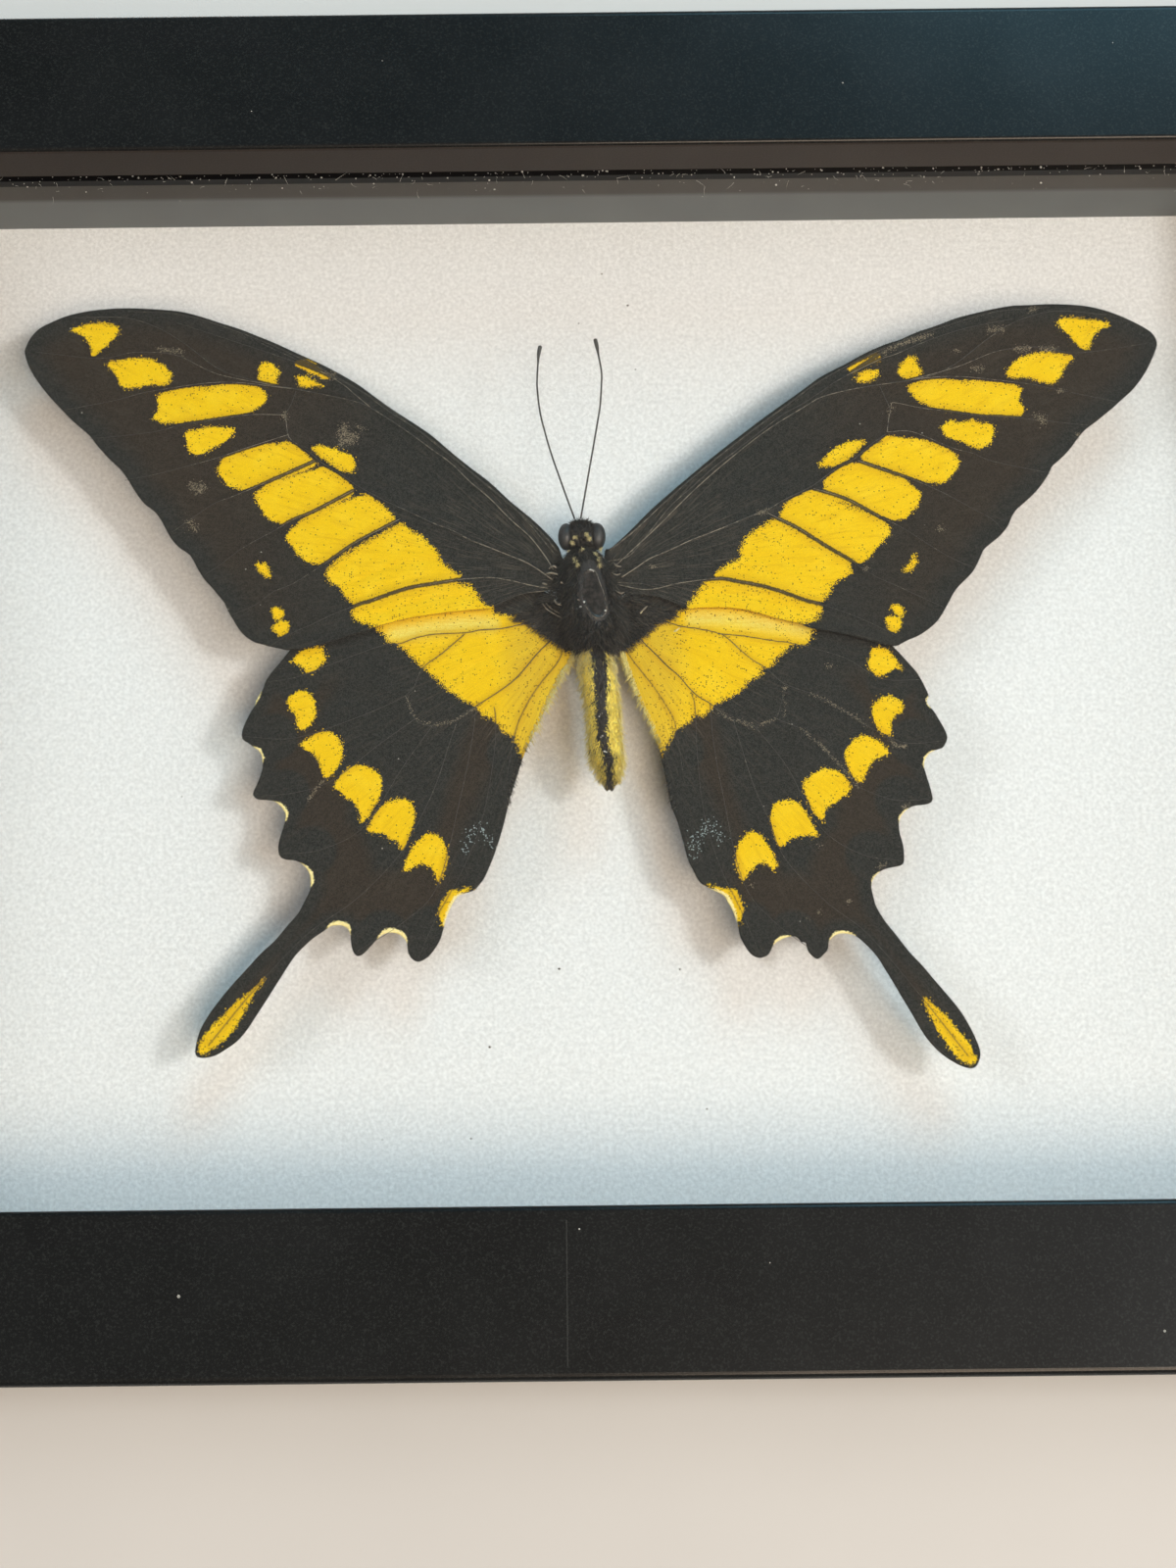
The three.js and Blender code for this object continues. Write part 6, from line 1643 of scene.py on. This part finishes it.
for side, sign in (("left", -1.0), ("right", 1.0)):
    rng = np.random.default_rng(21 if side == "left" else 22)
    spots = scatter_in(smooth(points(ROOT_PATCH[side])), ROOT_HAIRS, rng)
    away = unit(spots - np.array([0.4, 10.0]))
    roots = lift(spots, np.where(spots[:, 1] < 8.8, HINDWING_TOP + 0.05, FOREWING_TOP - 0.05))
    lean = lift(away + 0.3 * rng.normal(size=away.shape), 0.28 + 0.1 * rng.random(len(spots)))
    hair("root_hair_" + side, "body_fur", roots, lean, 0.5 + 0.9 * rng.random(len(roots)), 0.032,
         lift(0.12 * rng.normal(size=(len(roots), 2)), -0.22), dyes(len(roots), rng))

    path = soft_line(INNER_EDGE[side], steps=12)
    along = np.sort(rng.random(EDGE_HAIRS)) ** 1.4
    pace = along * (len(path) - 1)
    spots = np.column_stack([np.interp(pace, np.arange(len(path)), path[:, k]) for k in (0, 1)])
    spots[:, 0] += sign * (0.5 * rng.random(len(spots)) - 0.05)
    roots = lift(spots, HINDWING_TOP + 0.1)
    sideways, tailwards = -sign * (0.45 + 0.8 * rng.random(len(roots))), -0.8 - 0.3 * rng.random(len(roots))
    lean = np.column_stack([sideways, tailwards, -0.05 + 0.15 * rng.normal(size=len(roots))])
    pale = 1 - ease(along, 0.55, 0.72)
    shade = dyes(len(roots), rng)
    shade[:, 1] = 0.9 * pale
    shade[:, 2] = pale * (0.1 + 0.5 * rng.random(len(roots)))
    lengths = (0.3 + 1.0 * rng.random(len(roots)) ** 2) * (0.6 + 0.4 * pale)
    bend = np.column_stack([0.2 * sign * rng.random(len(roots)), -0.15 * rng.random(len(roots)),
                            0.1 * rng.normal(size=len(roots))])
    hair("inner_fringe_" + side, "wing_scales", roots, lean, lengths, 0.044, bend, shade)

# %% Fringe of scales around each wing
FRINGE_SPACING = 0.16


def fringe(name, skin, cream, rng):
    """Short scales all round an outline: roots every sixth of a millimetre, heading outwards across it."""
    outline = skin[0]
    run = np.roll(outline, -1, axis=0) - outline
    begun = np.concatenate([[0], np.cumsum(np.hypot(run[:, 0], run[:, 1]))])
    even = np.arange(0, begun[-1], FRINGE_SPACING)
    marks = even + FRINGE_SPACING * 0.6 * rng.random(len(even))
    loop = np.vstack([outline, outline[:1]])
    spots = np.column_stack([np.interp(marks, begun, loop[:, k]) for k in (0, 1)])
    ahead = unit(np.column_stack([np.interp(marks + 0.3, begun, loop[:, k]) for k in (0, 1)]) - spots)
    across = np.column_stack([ahead[:, 1], -ahead[:, 0]])
    if inside(spots + 0.2 * across, outline).mean() > 0.5:
        across = -across
    roots = lift(spots - 0.06 * across, height_at(skin, spots) - 0.06)
    lean = lift(across + 0.25 * rng.normal(size=across.shape), 0.15 * rng.normal(size=len(spots)))
    shade = dyes(len(roots), rng)
    if cream:
        shade[:, 2] = crescents(spots, cream) > 0.1
    hair(name, "wing_scales", roots, lean, 0.12 + 0.14 * rng.random(len(roots)), 0.035,
         np.zeros_like(roots), shade)


for number, ((kind, side), skin_here) in enumerate(wing_skins.items()):
    fringe(f"{kind}wing_fringe_{side}", skin_here, HINDWING_CREAM[side] if kind == "hind" else (),
           np.random.default_rng(31 + number))

# %% [markdown]
# ## Dust and lint
# Lint gathers where the glass meets the lip of the top rail. Each piece is a short bent fibre or a crumb,
# lying on the pane. A few dark crumbs also lie on the card. They are the same spikes and small rounded
# grains, scattered with a seed, with a handful listed one by one.

# %% Dust and lint
GLASS_TOP, CARD_TOP, RAIL_TOP = 22.25, 8.5, 28.0
LIP_CRUMBS, LIP_LINT = 260, 80
# Larger crumbs at the lip: place and size.
LARGER = np.array([(0.2, 59.3, 0.14), (54.0, 59.7, 0.16), (49.0, 59.5, 0.12), (-30.5, 59.4, 0.1),
                   (22.5, 59.5, 0.09), (-52.0, 59.6, 0.1)])


def crumbs(places, sizes, rng):
    """Rounded grains: a coarse ball at each place, stretched at random and squashed to half its height."""
    ball = globe(5, 6, 0.35)
    stretch = np.column_stack([0.7 + 0.8 * rng.random(len(places)), 0.7 + 0.6 * rng.random(len(places)),
                               np.full(len(places), 0.5)]) * sizes[:, None]
    return join([skin(ball * s + p) for s, p in zip(stretch, places)])


def plain_dust(name, light, dark):
    """Dull dust of one colour family, mottled from grain to grain."""
    material, tree, shader, place = start_material(name, 0.9)
    surface(tree, shader, blend(tree, noise(tree, place, 0.3, 2.0), dark, light),
            noise(tree, place, 0.06, 1.0), 0.01, 0.5)
    return material


pale_dust = plain_dust("pale_dust", paint(214, 210, 202), paint(150, 146, 138))
dark_dust = plain_dust("dark_dust", paint(84, 74, 62), paint(40, 34, 28))

rng = np.random.default_rng(41)
spots = np.column_stack([rng.uniform(-72, 72, LIP_CRUMBS), 59.9 - rng.exponential(0.8, LIP_CRUMBS)])
sizes = np.concatenate([0.04 + 0.07 * rng.random(LIP_CRUMBS) ** 3, LARGER[:, 2]])
places = lift(np.concatenate([spots, LARGER[:, :2]]), GLASS_TOP + 0.4 * sizes)
build("dust_at_lip", *crumbs(places, sizes, rng), pale_dust, "card_white")

spots = np.column_stack([rng.uniform(-70, 70, LIP_LINT), 59.6 - rng.exponential(0.8, LIP_LINT)])
lean = lift(rng.normal(size=(LIP_LINT, 2)), 0.02)
lengths = 0.3 + 0.8 * rng.random(LIP_LINT)
bend = lift(0.5 * rng.normal(size=(LIP_LINT, 2)), 0.01)
lint = spikes(lift(spots, GLASS_TOP + 0.04), lean, lengths, 0.03, bend)
build("lint_at_lip", *lint, pale_dust, "card_white")

# %% Crumbs on the abdomen, the card and the rails
# Chips on the abdomen, then pale grains on the rim of the bare patch and the hinges: painted highlights that
# stand for glints.
CHIPS = [(1.5, -5.1), (1.35, -5.35), (1.7, -5.0), (1.5, -7.75), (1.7, -7.6), (2.1, -9.5), (1.9, -9.4),
         (2.6, -1.6)]
GLINTS = [(0.55, 11.7), (0.75, 11.65), (0.9, 11.55), (-0.65, 7.4), (-0.2, 7.9), (-1.0, 7.2), (-1.5, 7.5),
          (2.2, 6.9)]
CARD_CRUMBS = [(-3.5, -32.6), (10.2, -32.8), (-11.4, -41.4), (12.9, -48.6), (-23.4, -51.6), (-13.5, -51.6),
               (-0.5, 46.6), (5.5, 48.9), (6.3, 40.5), (33.0, -20.6), (-47.0, -12.0)]
RAIL_CRUMBS = [(-1.4, -62.4), (30.4, 67.6), (62.0, 72.4), (-38.0, 64.8), (18.0, -66.0)]


def chip_height(x, y):
    """The height of the abdomen's back above a point."""
    ring = abdomen_rings[np.abs(abdomen_rings[:, 0, 1] - y).argmin()]
    return ring[np.abs(ring[:, 0] - x + 9 * (ring[:, 2] < BODY_LEVEL)).argmin(), 2] + 0.08


rng = np.random.default_rng(42)
sizes = 0.07 + 0.05 * rng.random(len(CARD_CRUMBS))
build("crumbs_on_card", *crumbs(lift(CARD_CRUMBS, CARD_TOP + 0.03), sizes, rng), dark_dust, "card_white")
heights = [chip_height(x, y) for x, y in CHIPS] + [top_of(x, y) + 0.1 for x, y in GLINTS]
sizes = 0.09 + 0.05 * rng.random(len(heights))
# The grains at GLINTS are painted highlights, not chips.
build("pale_chips_and_glints", *crumbs(lift(CHIPS + GLINTS, heights), sizes, rng), pale_dust, "body_fur")
sizes = 0.07 + 0.04 * rng.random(len(RAIL_CRUMBS))
build("crumbs_on_rails", *crumbs(lift(RAIL_CRUMBS, RAIL_TOP + 0.04), sizes, rng), pale_dust, "moulding_black")

# %% [markdown]
# ## Floor and finish
# The frame lies on a plain pale floor, which isn't part of the object.

# %% Floor and finish
FLOOR_HALF = 3.0
floor_mesh = bpy.data.meshes.new("floor")
FLOOR_TURNS = ((-1, -1), (1, -1), (1, 1), (-1, 1))
floor_mesh.from_pydata([(FLOOR_HALF * x, FLOOR_HALF * y, 0) for x, y in FLOOR_TURNS], [], [(0, 1, 2, 3)])
floor = bpy.data.objects.new("floor", floor_mesh)
bpy.context.scene.collection.objects.link(floor)
floor_paint, tree, shader, place = start_material("floor_pale", 0.85)
tree.links.new(blend(tree, noise(tree, place, 40.0, 3.0), paint(206, 205, 202), paint(214, 213, 210)),
               shader.inputs["Base Color"])
floor_mesh.materials.append(floor_paint)
